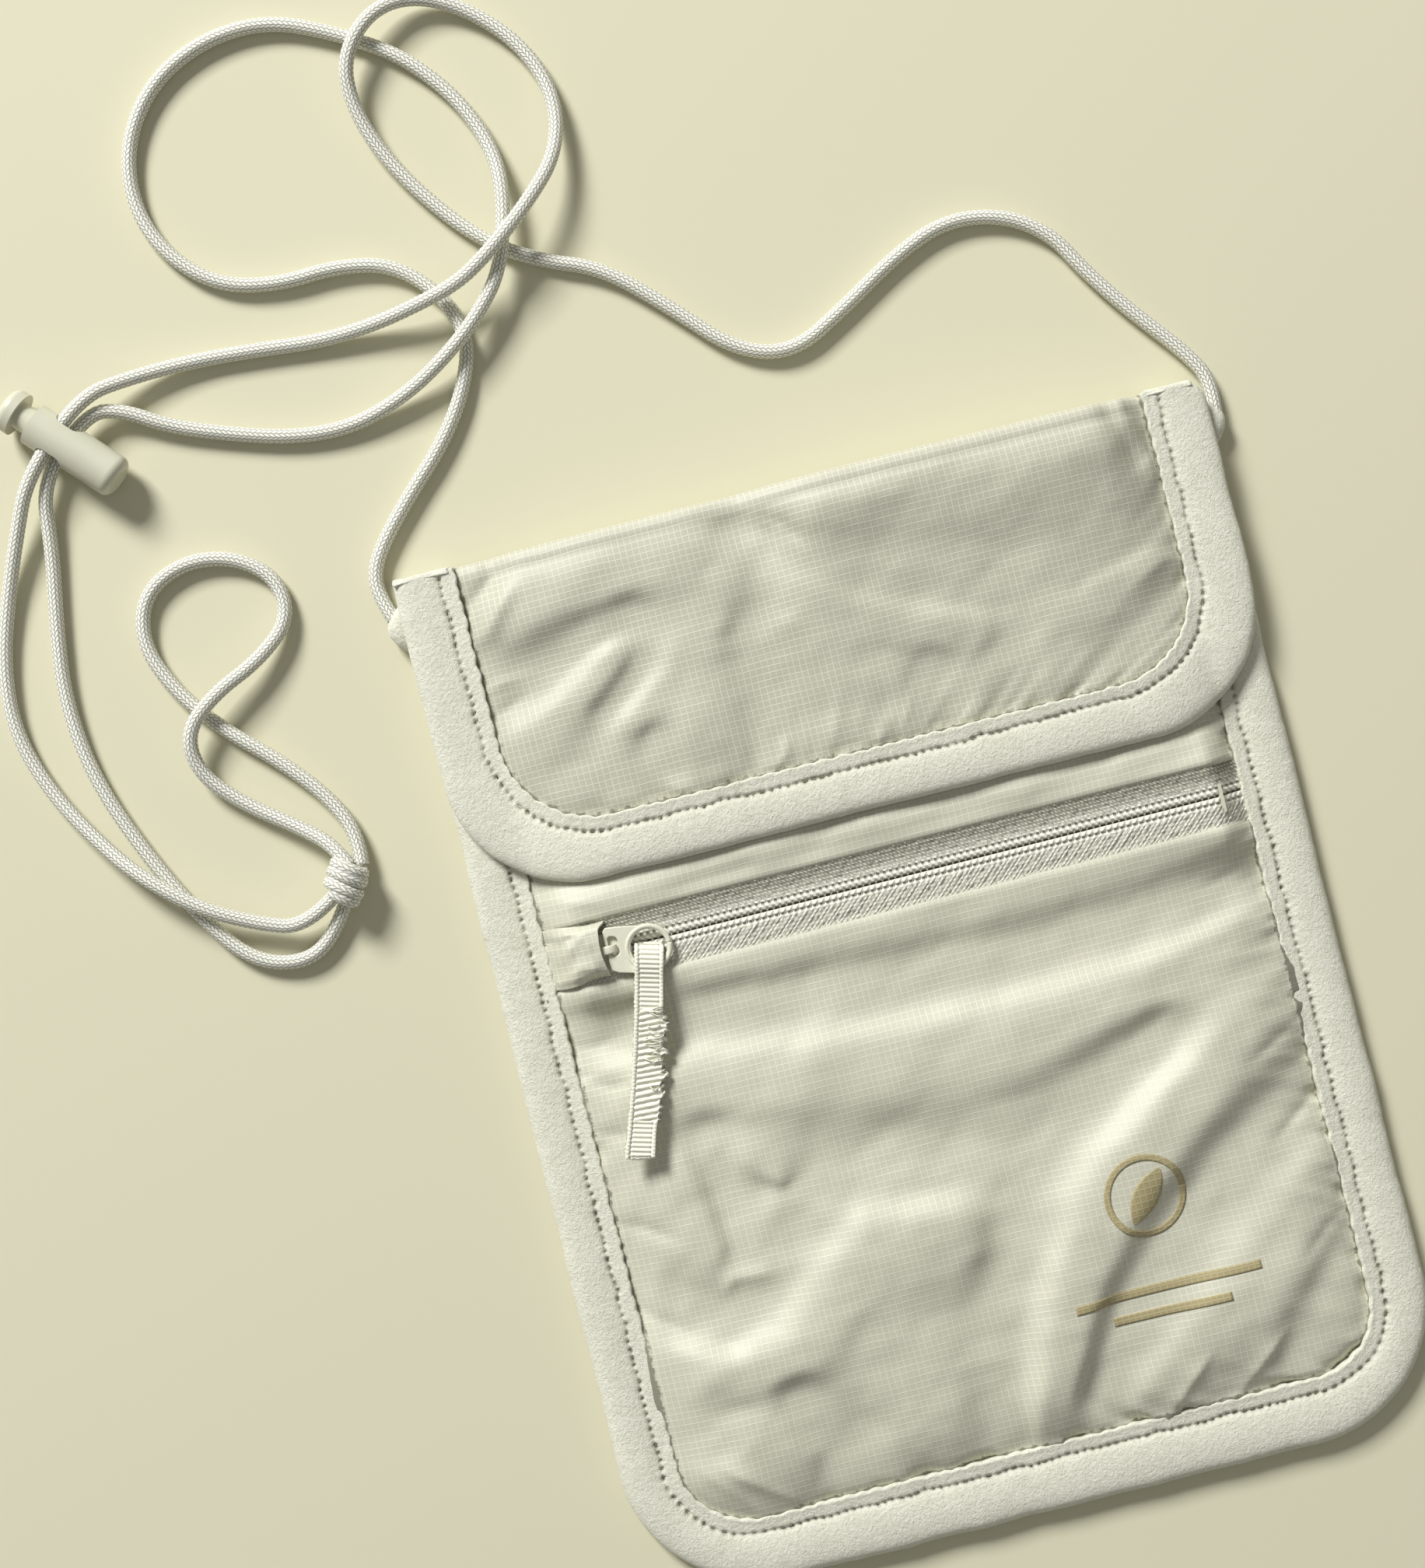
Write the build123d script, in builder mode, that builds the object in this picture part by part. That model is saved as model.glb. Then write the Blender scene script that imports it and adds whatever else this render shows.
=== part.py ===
"""Neck pouch wallet lying on its back, with its neck cord laid out on the same surface.

Millimetres. +X runs across the pouch, +Y towards the flap's fold, +Z up.
The origin is the centre of the pouch's outline, on the surface that it lies on.
"""

import os
from math import cos, radians, sin, tan

from build123d import *

# ---------------------------------------------------------------- driving dimensions
POUCH_W = 140.0
POUCH_H = 180.0
HALF_W = POUCH_W / 2
HALF_H = POUCH_H / 2
CORNER_R = 22.0

# Bound edge of the body: a folded tape, with the panels' edges held in a slot.
HEM_X = 60.8
HEM_Y = -79.5
HEM_R = 12.0
BINDING_H = 4.0
BINDING_END_Y = 88.6
RIM_X = 67.5
RIM_Y = -87.5
RIM_R = 19.0

# Heights of the stacked panels: at the bound edge, and on the raised middle.
BACK_T = 0.6
BACK_RIM_Z = (0.6, 1.2)
DIVIDER_RIM_Z = (1.2, 1.6)
DIVIDER_TOP_Z = (5.2, 5.6)
FRONT_RIM_Z = (1.6, 2.1)
FRONT_TOP_Z = (7.2, 7.7)
MOUTH_Y = 85.0

# Zip across the front.
TAPE_Y = (15.0, 25.5)
TAPE_GAP_Y = (19.2, 20.8)
COIL_Y = ((17.6, 19.0), (21.0, 22.4))
COIL_Z = (6.4, 7.2)
COIL_HALF_L = 55.2
STOP_L = 0.8
SLIDER_X = (-54.3, -45.6)
SLIDER_Y = 20.0
SLIDER_W = 6.6
SLIDER_LOW_Z = (5.8, 6.3)
SLIDER_TOP_Z = (7.8, 8.5)
GARAGE_X = -51.2
GARAGE_Y = (16.0, 25.4)

# Puller on the slider's crown, and its ribbon.
CROWN_X = -48.7
PIVOT_X = -49.75
PIVOT_Z = 9.0
PULLER_END_X = -39.8
PULLER_HALF_W = 3.7
PULLER_T = 0.7
SLOT_X = (-45.3, -41.0)
SLOT_Y = (17.2, 20.6)
RIBBON_W = 4.8
RIBBON_T = 0.8
RIBBON_TOP = (-43.2, 14.6)
RIBBON_L = 32.0
RIBBON_TURN = 17.8

# Flap: it drops over the sides of the raised middle.
FLAP_BOTTOM_Y = 32.5
FLAP_END_Y = 89.0
FLAP_CORNER_R = 20.0
FLAP_HEM_X = 60.0
FLAP_HEM_Y = 42.3
FLAP_HEM_R = 11.0
FLAP_DROP = 3.9
FLAP_KNEE_X = 57.2
FLAP_FOOT_X = 60.2
LINING_Z = (8.8, 9.2)
SHELL_Z = (9.2, 9.7)
FLAP_BINDING_Z = (8.2, 10.5)
CLOSURE_X = 22.0
CLOSURE_Y = (47.0, 61.0)
LOOP_STRIP_Z = (7.7, 8.2)
HOOK_STRIP_Z = (8.3, 8.8)
FOLD_Y = (89.2, 90.0)
FOLD_Z = (2.3, 8.9)
FOLD_HALF_W = 66.0

# Neck cord and the pieces on it.
CORD_D = 2.5
CORD_R = CORD_D / 2
TAB_Z = (0.3, 3.5)
TAB_ROOT_X = 67.7
TAB_OUT_X = 72.6
KNOT_AT = (-89.8, 42.5, 3.9)
KNOT_HALF_L = 4.6
KNOT_R = 3.8
KNOT_TURN = 58.0

# Cord lock: a barrel on its side, with a sprung plunger.
LOCK_FRONT = (-121.9, 129.7, 3.95)
LOCK_TURN = -47.1
BARREL_R = 3.7
BARREL_L = 17.2
BORE_SIZE = (6.2, 4.9)
BORE_END = 15.9
STEM_SIZE = (5.9, 4.6)
STEM_END = 9.0
STEM_OUT = 2.9
HEAD_R = 3.9
HEAD_T = 2.6
CROSS_SLOT = (2.8, 7.9)
CROSS_SLOT_H = 5.0
PLUNGER_SLOT = (0.35, 7.4)
PLUNGER_SLOT_H = 4.8
SPRING_WIRE_R = 0.22
SPRING_R = 1.7
SPRING_TURNS = 6

# Routes of the cord's middle line, as corner points that the tube rounds off.
RIGHT_ROUTE = [
    (71.5, 82.4, 1.9), (72.4, 88.4, 1.4), (69.4, 94.2, 1.3), (62.0, 103.4, 1.3),
    (56.2, 111.8, 1.3), (52.0, 119.6, 1.3), (44.5, 124.6, 1.3), (35.0, 125.8, 1.3),
    (25.5, 122.0, 1.3), (15.0, 115.6, 1.3), (5.0, 110.4, 1.3), (-4.5, 113.4, 1.3),
    (-13.6, 123.4, 1.3), (-23.0, 132.4, 1.3), (-33.0, 136.2, 1.3), (-41.3, 141.8, 1.3),
    (-48.6, 150.6, 1.3), (-54.4, 160.4, 1.6), (-57.0, 169.0, 2.6), (-56.4, 176.6, 4.2),
    (-50.6, 183.0, 4.2), (-43.0, 184.6, 2.6), (-34.4, 180.6, 1.4), (-26.8, 172.4, 1.4),
    (-23.4, 162.4, 2.0), (-25.4, 152.4, 4.2), (-32.5, 144.6, 6.9), (-41.2, 138.0, 6.9),
    (-47.0, 135.0, 5.2), (-54.5, 133.3, 4.3), (-63.0, 132.2, 2.2), (-72.6, 132.0, 1.3),
    (-83.0, 133.2, 1.3), (-94.0, 134.0, 1.3), (-104.4, 133.6, 2.6), (-113.2, 132.14, 4.95),
    (-124.9, 121.29, 4.95), (-129.4, 112.6, 3.0), (-133.8, 102.8, 1.4), (-137.4, 92.0, 1.3),
    (-138.4, 80.5, 1.3), (-134.9, 69.0, 1.3), (-128.8, 58.6, 2.2), (-122.9, 51.2, 4.2),
    (-114.4, 43.6, 4.2), (-106.0, 39.0, 3.0), (-98.4, 36.4, 3.2), (-92.4, 40.4, 3.9),
]
LEFT_ROUTE = [
    (-71.4, 83.2, 1.9), (-73.0, 87.6, 1.4), (-72.7, 92.2, 1.3), (-69.6, 96.9, 1.3),
    (-63.4, 103.4, 1.3), (-56.2, 110.2, 1.3), (-50.6, 118.0, 1.3), (-47.6, 126.6, 1.3),
    (-50.2, 134.6, 1.3), (-57.0, 141.6, 1.3), (-66.4, 143.6, 1.3), (-76.4, 143.0, 1.3),
    (-86.2, 145.2, 1.3), (-93.8, 152.4, 1.3), (-97.2, 162.0, 1.3), (-95.6, 172.4, 1.3),
    (-89.2, 181.2, 1.3), (-79.2, 186.2, 1.3), (-67.6, 186.8, 1.3), (-56.6, 181.8, 1.3),
    (-46.8, 175.4, 1.3), (-39.6, 166.4, 1.3), (-35.8, 156.6, 1.8), (-35.8, 147.4, 4.1),
    (-39.4, 135.8, 4.1), (-44.6, 129.6, 4.1), (-51.8, 123.8, 4.1), (-60.2, 119.4, 2.2),
    (-70.0, 116.6, 1.3), (-80.0, 117.2, 1.3), (-91.0, 120.6, 1.3), (-100.6, 124.4, 1.5),
    (-107.0, 128.6, 2.2), (-113.0, 129.72, 2.85), (-123.3, 120.17, 2.85), (-124.6, 109.0, 1.4),
    (-127.0, 96.6, 1.3), (-128.8, 84.0, 1.3), (-127.4, 70.0, 1.3), (-121.9, 55.0, 1.3),
    (-115.2, 42.0, 1.3), (-109.0, 33.4, 1.3), (-101.0, 30.6, 1.3), (-94.6, 33.4, 1.5),
    (-90.8, 39.4, 1.9),
]
TAIL_ROUTE = [
    (-86.8, 44.4, 2.2), (-86.2, 49.4, 1.8), (-89.6, 57.0, 1.3), (-96.2, 65.0, 1.3),
    (-103.9, 72.2, 1.3), (-110.2, 80.4, 1.3), (-113.8, 89.4, 1.3), (-111.6, 97.6, 1.3),
    (-104.2, 101.4, 1.3), (-95.6, 100.4, 1.3), (-89.0, 95.2, 1.3), (-88.6, 87.6, 1.6),
    (-95.2, 82.0, 3.0), (-103.4, 78.4, 4.2), (-109.8, 73.2, 4.2), (-109.6, 65.8, 2.6),
    (-103.4, 59.0, 1.6), (-95.6, 53.2, 2.2), (-90.2, 48.6, 4.0), (-88.6, 44.6, 4.9),
]

os.makedirs("parts", exist_ok=True)


def save(piece, name):
    """Label one finished piece and write it."""
    piece.part.label = name
    export_step(piece.part, f"parts/{name}.step")


def pouch_outline(half_w, low_y, top_y, radius):
    """Outline with a straight top edge and two rounded bottom corners."""
    with BuildLine() as edge:
        FilletPolyline(
            (-half_w, top_y), (-half_w, low_y), (half_w, low_y), (half_w, top_y),
            radius=radius,
        )
        Line((-half_w, top_y), (half_w, top_y))
    make_face(edge.edges())


def raised_panel(rim_z, top_z, foot_x, foot_y, top_x, top_y, end_y):
    """Thin panel: a flat rim, a wall that slopes up and a flat raised middle."""
    with BuildPart() as panel:
        with BuildSketch(Plane.XY.offset(rim_z[0])):
            pouch_outline(foot_x, foot_y, end_y, HEM_R)
        with BuildSketch(Plane.XY.offset(top_z[1])):
            pouch_outline(top_x, top_y, end_y, HEM_R - 2)
        loft(ruled=True)
        with BuildSketch(Plane.XY.offset(rim_z[0])):
            pouch_outline(RIM_X, RIM_Y, end_y, RIM_R)
        extrude(amount=rim_z[1] - rim_z[0])
    wall = top_z[1] - top_z[0]
    with BuildPart() as hollow:
        with BuildSketch(Plane.XY.offset(rim_z[0])):
            pouch_outline(foot_x - wall, foot_y + wall, end_y, HEM_R - wall)
        with BuildSketch(Plane.XY.offset(top_z[0])):
            pouch_outline(top_x - wall, top_y + wall, end_y, HEM_R - 2 - wall)
        loft(ruled=True)
    with BuildPart() as hollowed:
        add(panel.part)
        add(hollow.part, mode=Mode.SUBTRACT)
    return hollowed.part


def band(solid, low_y, high_y):
    """The part of a solid between two heights up the pouch."""
    with BuildPart() as cut:
        add(solid)
        with BuildSketch(Plane.XY):
            with Locations((0, (low_y + high_y) / 2)):
                Rectangle(2 * POUCH_W, high_y - low_y)
        extrude(amount=4 * BINDING_H, both=True, mode=Mode.INTERSECT)
    return cut.part


def flap_layer(low_z, high_z):
    """A layer across the flap that drops over both sides of the raised middle."""
    far = HALF_W + 5
    points = [
        (far, low_z - FLAP_DROP), (FLAP_FOOT_X, low_z - FLAP_DROP), (FLAP_KNEE_X, low_z),
        (-FLAP_KNEE_X, low_z), (-FLAP_FOOT_X, low_z - FLAP_DROP), (-far, low_z - FLAP_DROP),
        (-far, high_z - FLAP_DROP), (-FLAP_FOOT_X, high_z - FLAP_DROP),
        (-FLAP_KNEE_X, high_z), (FLAP_KNEE_X, high_z), (FLAP_FOOT_X, high_z - FLAP_DROP),
        (far, high_z - FLAP_DROP),
    ]
    with BuildPart() as layer:
        with BuildSketch(Plane.XZ):
            Polygon(*points, align=None)
        extrude(amount=-HALF_H - 5)
    return layer.part


def flap_piece(layer, half_w, low_y, radius):
    """A flap layer cut to the flap's outline."""
    with BuildPart() as piece:
        add(layer)
        with BuildSketch(Plane.XY):
            pouch_outline(half_w, low_y, FLAP_END_Y, radius)
        extrude(amount=4 * BINDING_H, mode=Mode.INTERSECT)
    return piece.part


def corner_radii(points):
    """The largest arc that each corner's two runs allow."""
    radii = []
    for before, corner, after in zip(points, points[1:], points[2:]):
        run_in = Vector(*corner) - Vector(*before)
        run_out = Vector(*after) - Vector(*corner)
        turn = run_in.get_angle(run_out)
        radii.append(0.45 * min(run_in.length, run_out.length) / tan(radians(turn / 2)))
    return radii


def cord_tube(points, name):
    """One stretch of cord: straight runs joined by tangent arcs."""
    radii = corner_radii(points)
    with BuildPart() as tube:
        with BuildLine() as path:
            FilletPolyline(*points, radius=radii)
        start = path.wire() @ 0
        with BuildSketch(Plane(origin=start, z_dir=path.wire() % 0)):
            Circle(CORD_R)
        sweep(path=path.wire())
    length = path.wire().length
    share = tube.part.volume / (length * 3.14159265 * CORD_R**2)
    print(f"{name}: length {length:.1f}, smallest radius {min(radii):.1f}, volume share {share:.4f}")
    print("  radii", [round(r, 1) for r in radii])
    save(tube, name)


def on_lock(along, across=0.0, up=0.0):
    """A point measured from the middle of the barrel's front face."""
    turn = radians(LOCK_TURN)
    x = LOCK_FRONT[0] + along * cos(turn) - across * sin(turn)
    y = LOCK_FRONT[1] + along * sin(turn) + across * cos(turn)
    return (x, y, LOCK_FRONT[2] + up)


def lock_section(along):
    """Plane across the lock's axis: its x lies across and its y points up."""
    turn = radians(LOCK_TURN)
    return Plane(
        origin=on_lock(along), x_dir=(-sin(turn), cos(turn), 0), z_dir=(cos(turn), sin(turn), 0)
    )


def lock_side():
    """Upright plane along the lock's axis: its x runs into the barrel and its y points up."""
    turn = radians(LOCK_TURN)
    return Plane(origin=LOCK_FRONT, x_dir=(cos(turn), sin(turn), 0), z_dir=(sin(turn), -cos(turn), 0))


# ---------------------------------------------------------------- body of the pouch
with BuildPart() as back_panel:
    with BuildSketch(Plane.XY):
        pouch_outline(HEM_X - 1.0, HEM_Y + 1.0, BINDING_END_Y, HEM_R - 1.0)
    extrude(amount=BACK_T)
    with BuildSketch(Plane.XY.offset(BACK_RIM_Z[0])):
        pouch_outline(RIM_X, RIM_Y, BINDING_END_Y, RIM_R)
        with BuildSketch(Plane.XY.offset(BACK_RIM_Z[0]), mode=Mode.SUBTRACT):
            pouch_outline(HEM_X - 2.2, HEM_Y + 2.2, BINDING_END_Y, HEM_R - 2.2)
    extrude(amount=BACK_RIM_Z[1] - BACK_RIM_Z[0])
save(back_panel, "back_panel")

with BuildPart() as divider_panel:
    add(raised_panel(DIVIDER_RIM_Z, DIVIDER_TOP_Z, 59.0, -77.8, 55.6, -74.6, MOUTH_Y - 1))
save(divider_panel, "divider_panel")

front_tray = raised_panel(FRONT_RIM_Z, FRONT_TOP_Z, 60.3, -79.1, 57.0, -76.0, MOUTH_Y)

with BuildPart() as front_upper_panel:
    add(band(front_tray, TAPE_Y[1], MOUTH_Y))
save(front_upper_panel, "front_upper_panel")

with BuildPart() as front_lower_panel:
    add(band(front_tray, -HALF_H, TAPE_Y[0]))
save(front_lower_panel, "front_lower_panel")

with BuildPart() as body_binding:
    with BuildSketch(Plane.XY):
        pouch_outline(HALF_W, -HALF_H, BINDING_END_Y, CORNER_R)
        with BuildSketch(Plane.XY, mode=Mode.SUBTRACT):
            pouch_outline(HEM_X, HEM_Y, BINDING_END_Y, HEM_R)
    extrude(amount=BINDING_H)
    with BuildSketch(Plane.XY.offset(BACK_RIM_Z[0])):
        pouch_outline(RIM_X, RIM_Y, BINDING_END_Y, RIM_R)
    extrude(amount=FRONT_RIM_Z[1] - BACK_RIM_Z[0], mode=Mode.SUBTRACT)
    long_edges = body_binding.edges().group_by(Axis.Z)[-1].filter_by(
        lambda edge: edge.length > 8 and edge.center().Y < BINDING_END_Y - 1
    )
    fillet(long_edges, radius=1.2)
save(body_binding, "body_binding")

# ---------------------------------------------------------------- zip
with BuildPart() as zip_tape_lower:
    add(band(front_tray, TAPE_Y[0], TAPE_GAP_Y[0]))
save(zip_tape_lower, "zip_tape_lower")

with BuildPart() as zip_tape_upper:
    add(band(front_tray, TAPE_GAP_Y[1], TAPE_Y[1]))
save(zip_tape_upper, "zip_tape_upper")

for half, side in zip(COIL_Y, ("lower", "upper")):
    with BuildPart() as zip_coil:
        with BuildSketch(Plane.YZ.offset(-COIL_HALF_L)):
            with Locations(((half[0] + half[1]) / 2, (COIL_Z[0] + COIL_Z[1]) / 2)):
                RectangleRounded(half[1] - half[0], COIL_Z[1] - COIL_Z[0], 0.3)
        extrude(amount=2 * COIL_HALF_L)
    save(zip_coil, f"zip_coil_{side}")

with BuildPart() as zip_stops:
    with BuildSketch(Plane.XY.offset(COIL_Z[0])):
        for end in (-1, 1):
            with Locations((end * (COIL_HALF_L + STOP_L / 2 + 0.1), SLIDER_Y)):
                Rectangle(STOP_L, COIL_Y[1][1] - COIL_Y[0][0])
    extrude(amount=COIL_Z[1] - COIL_Z[0])
    fillet(zip_stops.edges().filter_by(Axis.Z), radius=0.3)
save(zip_stops, "zip_stops")

slider_mid_x = (SLIDER_X[0] + SLIDER_X[1]) / 2
slider_l = SLIDER_X[1] - SLIDER_X[0]
with BuildPart() as zip_slider:
    # Two plates, wide at the end where the tapes part and narrower behind.
    for low_z, high_z in (SLIDER_LOW_Z, SLIDER_TOP_Z):
        with BuildSketch(Plane.XY.offset(low_z)) as plate:
            half_w = SLIDER_W / 2
            Polygon(
                (SLIDER_X[0], SLIDER_Y - half_w), (slider_mid_x, SLIDER_Y - half_w),
                (SLIDER_X[1], SLIDER_Y - half_w + 0.8), (SLIDER_X[1], SLIDER_Y + half_w - 0.8),
                (slider_mid_x, SLIDER_Y + half_w), (SLIDER_X[0], SLIDER_Y + half_w),
                align=None,
            )
            fillet(plate.vertices(), radius=0.9)
        extrude(amount=high_z - low_z)
    # The post that parts the coils joins the two plates.
    with BuildSketch(Plane.XY.offset(SLIDER_LOW_Z[1])):
        with Locations((SLIDER_X[0] + 1.3, SLIDER_Y)):
            SlotOverall(2.2, 1.0)
    extrude(amount=SLIDER_TOP_Z[0] - SLIDER_LOW_Z[1])
    # The crown that the puller hangs on.
    with BuildSketch(Plane.XZ.offset(-SLIDER_Y)) as crown:
        with Locations((CROWN_X, SLIDER_TOP_Z[1] + 0.75)):
            RectangleRounded(4.4, 1.9, 0.8)
        with Locations((CROWN_X, SLIDER_TOP_Z[1] + 0.55)):
            Rectangle(3.2, 1.1, mode=Mode.SUBTRACT)
    extrude(amount=0.6, both=True)
save(zip_slider, "zip_slider")

with BuildPart() as zip_puller:
    low_z = PIVOT_Z - PULLER_T / 2
    with BuildSketch(Plane.XY.offset(low_z)) as tab:
        Polygon(
            (PIVOT_X, SLIDER_Y - PULLER_HALF_W), (PULLER_END_X, SLIDER_Y - PULLER_HALF_W - 0.3),
            (PULLER_END_X, SLIDER_Y + PULLER_HALF_W - 0.6), (PIVOT_X, SLIDER_Y + PULLER_HALF_W),
            align=None,
        )
        fillet(tab.vertices().group_by(Axis.X)[-1], radius=2.6)
        with Locations((PIVOT_X + 1.6, SLIDER_Y)):
            Rectangle(4.1, 2.2, mode=Mode.SUBTRACT)
        with Locations(((SLOT_X[0] + SLOT_X[1]) / 2, (SLOT_Y[0] + SLOT_Y[1]) / 2)):
            RectangleRounded(SLOT_X[1] - SLOT_X[0], SLOT_Y[1] - SLOT_Y[0], 0.2, mode=Mode.SUBTRACT)
    extrude(amount=PULLER_T)
    with BuildSketch(Plane.XZ.offset(-SLIDER_Y)):
        with Locations((PIVOT_X, PIVOT_Z)):
            Circle(PULLER_T / 2)
    extrude(amount=PULLER_HALF_W, both=True)
save(zip_puller, "zip_puller")

with BuildPart() as ribbon_loop:
    # Doubled ribbon round the rim of the puller's slot.
    with BuildSketch(Plane.YZ.offset(SLOT_X[0] + 0.2)):
        with Locations((16.7, PIVOT_Z)):
            RectangleRounded(3.8, 2.0, 0.7)
        with Locations((16.45, PIVOT_Z)):
            Rectangle(1.5, PULLER_T + 0.02, mode=Mode.SUBTRACT)
    extrude(amount=SLOT_X[1] - SLOT_X[0] - 0.4)
save(ribbon_loop, "ribbon_loop")

with BuildPart() as pull_ribbon:
    turned = Plane(origin=(*RIBBON_TOP, PIVOT_Z - RIBBON_T / 2)).rotated((0, 0, -RIBBON_TURN))
    with BuildSketch(turned) as strip:
        with Locations((0, -RIBBON_L / 2 - RIBBON_W * 0.16)):
            Rectangle(RIBBON_W, RIBBON_L)
        fillet(strip.vertices(), radius=0.4)
    extrude(amount=RIBBON_T)
save(pull_ribbon, "pull_ribbon")

with BuildPart() as zip_garage:
    # A tab that runs from the bound edge up and over the closed slider.
    with BuildSketch(Plane.XZ.offset(-GARAGE_Y[0])):
        Polygon(
            (GARAGE_X, 8.7), (-56.6, 8.7), (-60.6, 4.1), (-61.1, 4.4), (-56.9, 9.1), (GARAGE_X, 9.1),
            align=None,
        )
    extrude(amount=-(GARAGE_Y[1] - GARAGE_Y[0]))
save(zip_garage, "zip_garage")

# ---------------------------------------------------------------- flap
with BuildPart() as flap_shell:
    add(flap_piece(flap_layer(*SHELL_Z), HALF_W - 2.5, FLAP_BOTTOM_Y + 2.5, FLAP_CORNER_R - 2.5))
save(flap_shell, "flap_shell")

with BuildPart() as flap_lining:
    add(flap_piece(flap_layer(*LINING_Z), HALF_W - 2.5, FLAP_BOTTOM_Y + 2.5, FLAP_CORNER_R - 2.5))
save(flap_lining, "flap_lining")

with BuildPart() as flap_binding:
    add(flap_piece(flap_layer(*FLAP_BINDING_Z), HALF_W, FLAP_BOTTOM_Y, FLAP_CORNER_R))
    with BuildSketch(Plane.XY):
        pouch_outline(FLAP_HEM_X, FLAP_HEM_Y, FLAP_END_Y + 1, FLAP_HEM_R)
    extrude(amount=4 * BINDING_H, mode=Mode.SUBTRACT)
    add(flap_shell.part, mode=Mode.SUBTRACT)
    add(flap_lining.part, mode=Mode.SUBTRACT)
save(flap_binding, "flap_binding")

closure_mid_y = (CLOSURE_Y[0] + CLOSURE_Y[1]) / 2
for name, (low_z, high_z) in {"hook_strip": HOOK_STRIP_Z, "loop_strip": LOOP_STRIP_Z}.items():
    with BuildPart() as strip_of_closure:
        with BuildSketch(Plane.XY.offset(low_z)):
            with Locations((0, closure_mid_y)):
                RectangleRounded(2 * CLOSURE_X, CLOSURE_Y[1] - CLOSURE_Y[0], 1.5)
        extrude(amount=high_z - low_z)
    save(strip_of_closure, name)

with BuildPart() as flap_fold:
    # The shell fabric between the back panel's top edge and the flap, as an upright strip.
    side_z = FOLD_Z[1] - FLAP_DROP + 0.6
    with BuildSketch(Plane.XZ.offset(-FOLD_Y[0])):
        Polygon(
            (-FOLD_HALF_W, FOLD_Z[0]), (FOLD_HALF_W, FOLD_Z[0]), (FOLD_HALF_W, side_z),
            (FLAP_FOOT_X, side_z), (FLAP_KNEE_X, FOLD_Z[1]), (-FLAP_KNEE_X, FOLD_Z[1]),
            (-FLAP_FOOT_X, side_z), (-FOLD_HALF_W, side_z),
            align=None,
        )
    extrude(amount=-(FOLD_Y[1] - FOLD_Y[0]))
save(flap_fold, "flap_fold")

# ---------------------------------------------------------------- neck cord
for side, name in ((1, "cord_loop_right"), (-1, "cord_loop_left")):
    with BuildPart() as cord_loop:
        # A folded tape tab, sewn into the bound edge, that the cord ends in.
        with BuildSketch(Plane.XY.offset(TAB_Z[0])) as tab:
            Polygon(
                (side * TAB_ROOT_X, 78.4), (side * 70.6, 78.6), (side * TAB_OUT_X, 81.6),
                (side * TAB_OUT_X, 84.2), (side * TAB_ROOT_X, 84.2),
                align=None,
            )
            fillet(tab.vertices(), radius=0.6)
        extrude(amount=TAB_Z[1] - TAB_Z[0])
    save(cord_loop, name)

cord_tube(RIGHT_ROUTE, "cord_right")
cord_tube(LEFT_ROUTE, "cord_left")
cord_tube(TAIL_ROUTE, "cord_tail")

with BuildPart() as cord_knot:
    knot_plane = Plane(origin=KNOT_AT).rotated((0, 0, KNOT_TURN))
    with BuildSketch(knot_plane):
        Ellipse(KNOT_HALF_L, KNOT_R)
        with Locations((0, -KNOT_R)):
            Rectangle(4 * KNOT_HALF_L, 2 * KNOT_R, mode=Mode.SUBTRACT)
    revolve(axis=Axis(knot_plane.origin, knot_plane.x_dir))
save(cord_knot, "cord_knot")

# ---------------------------------------------------------------- cord lock
with BuildPart() as lock_barrel:
    with BuildSketch(lock_section(0)):
        Circle(BARREL_R)
    extrude(amount=BARREL_L)
    fillet(lock_barrel.edges().sort_by(Axis((0, 0, 0), lock_section(0).z_dir))[-1], radius=1.6)
    with BuildSketch(lock_section(0)):
        SlotOverall(BORE_SIZE[0], BORE_SIZE[1], rotation=90)
    extrude(amount=BORE_END, mode=Mode.SUBTRACT)
    with BuildSketch(lock_side()):
        with Locations(((CROSS_SLOT[0] + CROSS_SLOT[1]) / 2, 0)):
            RectangleRounded(CROSS_SLOT[1] - CROSS_SLOT[0], CROSS_SLOT_H, 1.4)
    extrude(amount=2 * BARREL_R, both=True, mode=Mode.SUBTRACT)
save(lock_barrel, "lock_barrel")

with BuildPart() as lock_plunger:
    with BuildSketch(lock_section(-STEM_OUT)):
        SlotOverall(STEM_SIZE[0], STEM_SIZE[1], rotation=90)
    extrude(amount=STEM_OUT + STEM_END)
    with BuildSketch(lock_section(-STEM_OUT)):
        Circle(HEAD_R)
    extrude(amount=-HEAD_T)
    fillet(lock_plunger.edges().sort_by(Axis((0, 0, 0), lock_section(0).z_dir))[0], radius=1.4)
    with BuildSketch(lock_side()):
        with Locations(((PLUNGER_SLOT[0] + PLUNGER_SLOT[1]) / 2, 0)):
            RectangleRounded(PLUNGER_SLOT[1] - PLUNGER_SLOT[0], PLUNGER_SLOT_H, 1.2)
    extrude(amount=2 * BARREL_R, both=True, mode=Mode.SUBTRACT)
save(lock_plunger, "lock_plunger")

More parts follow.
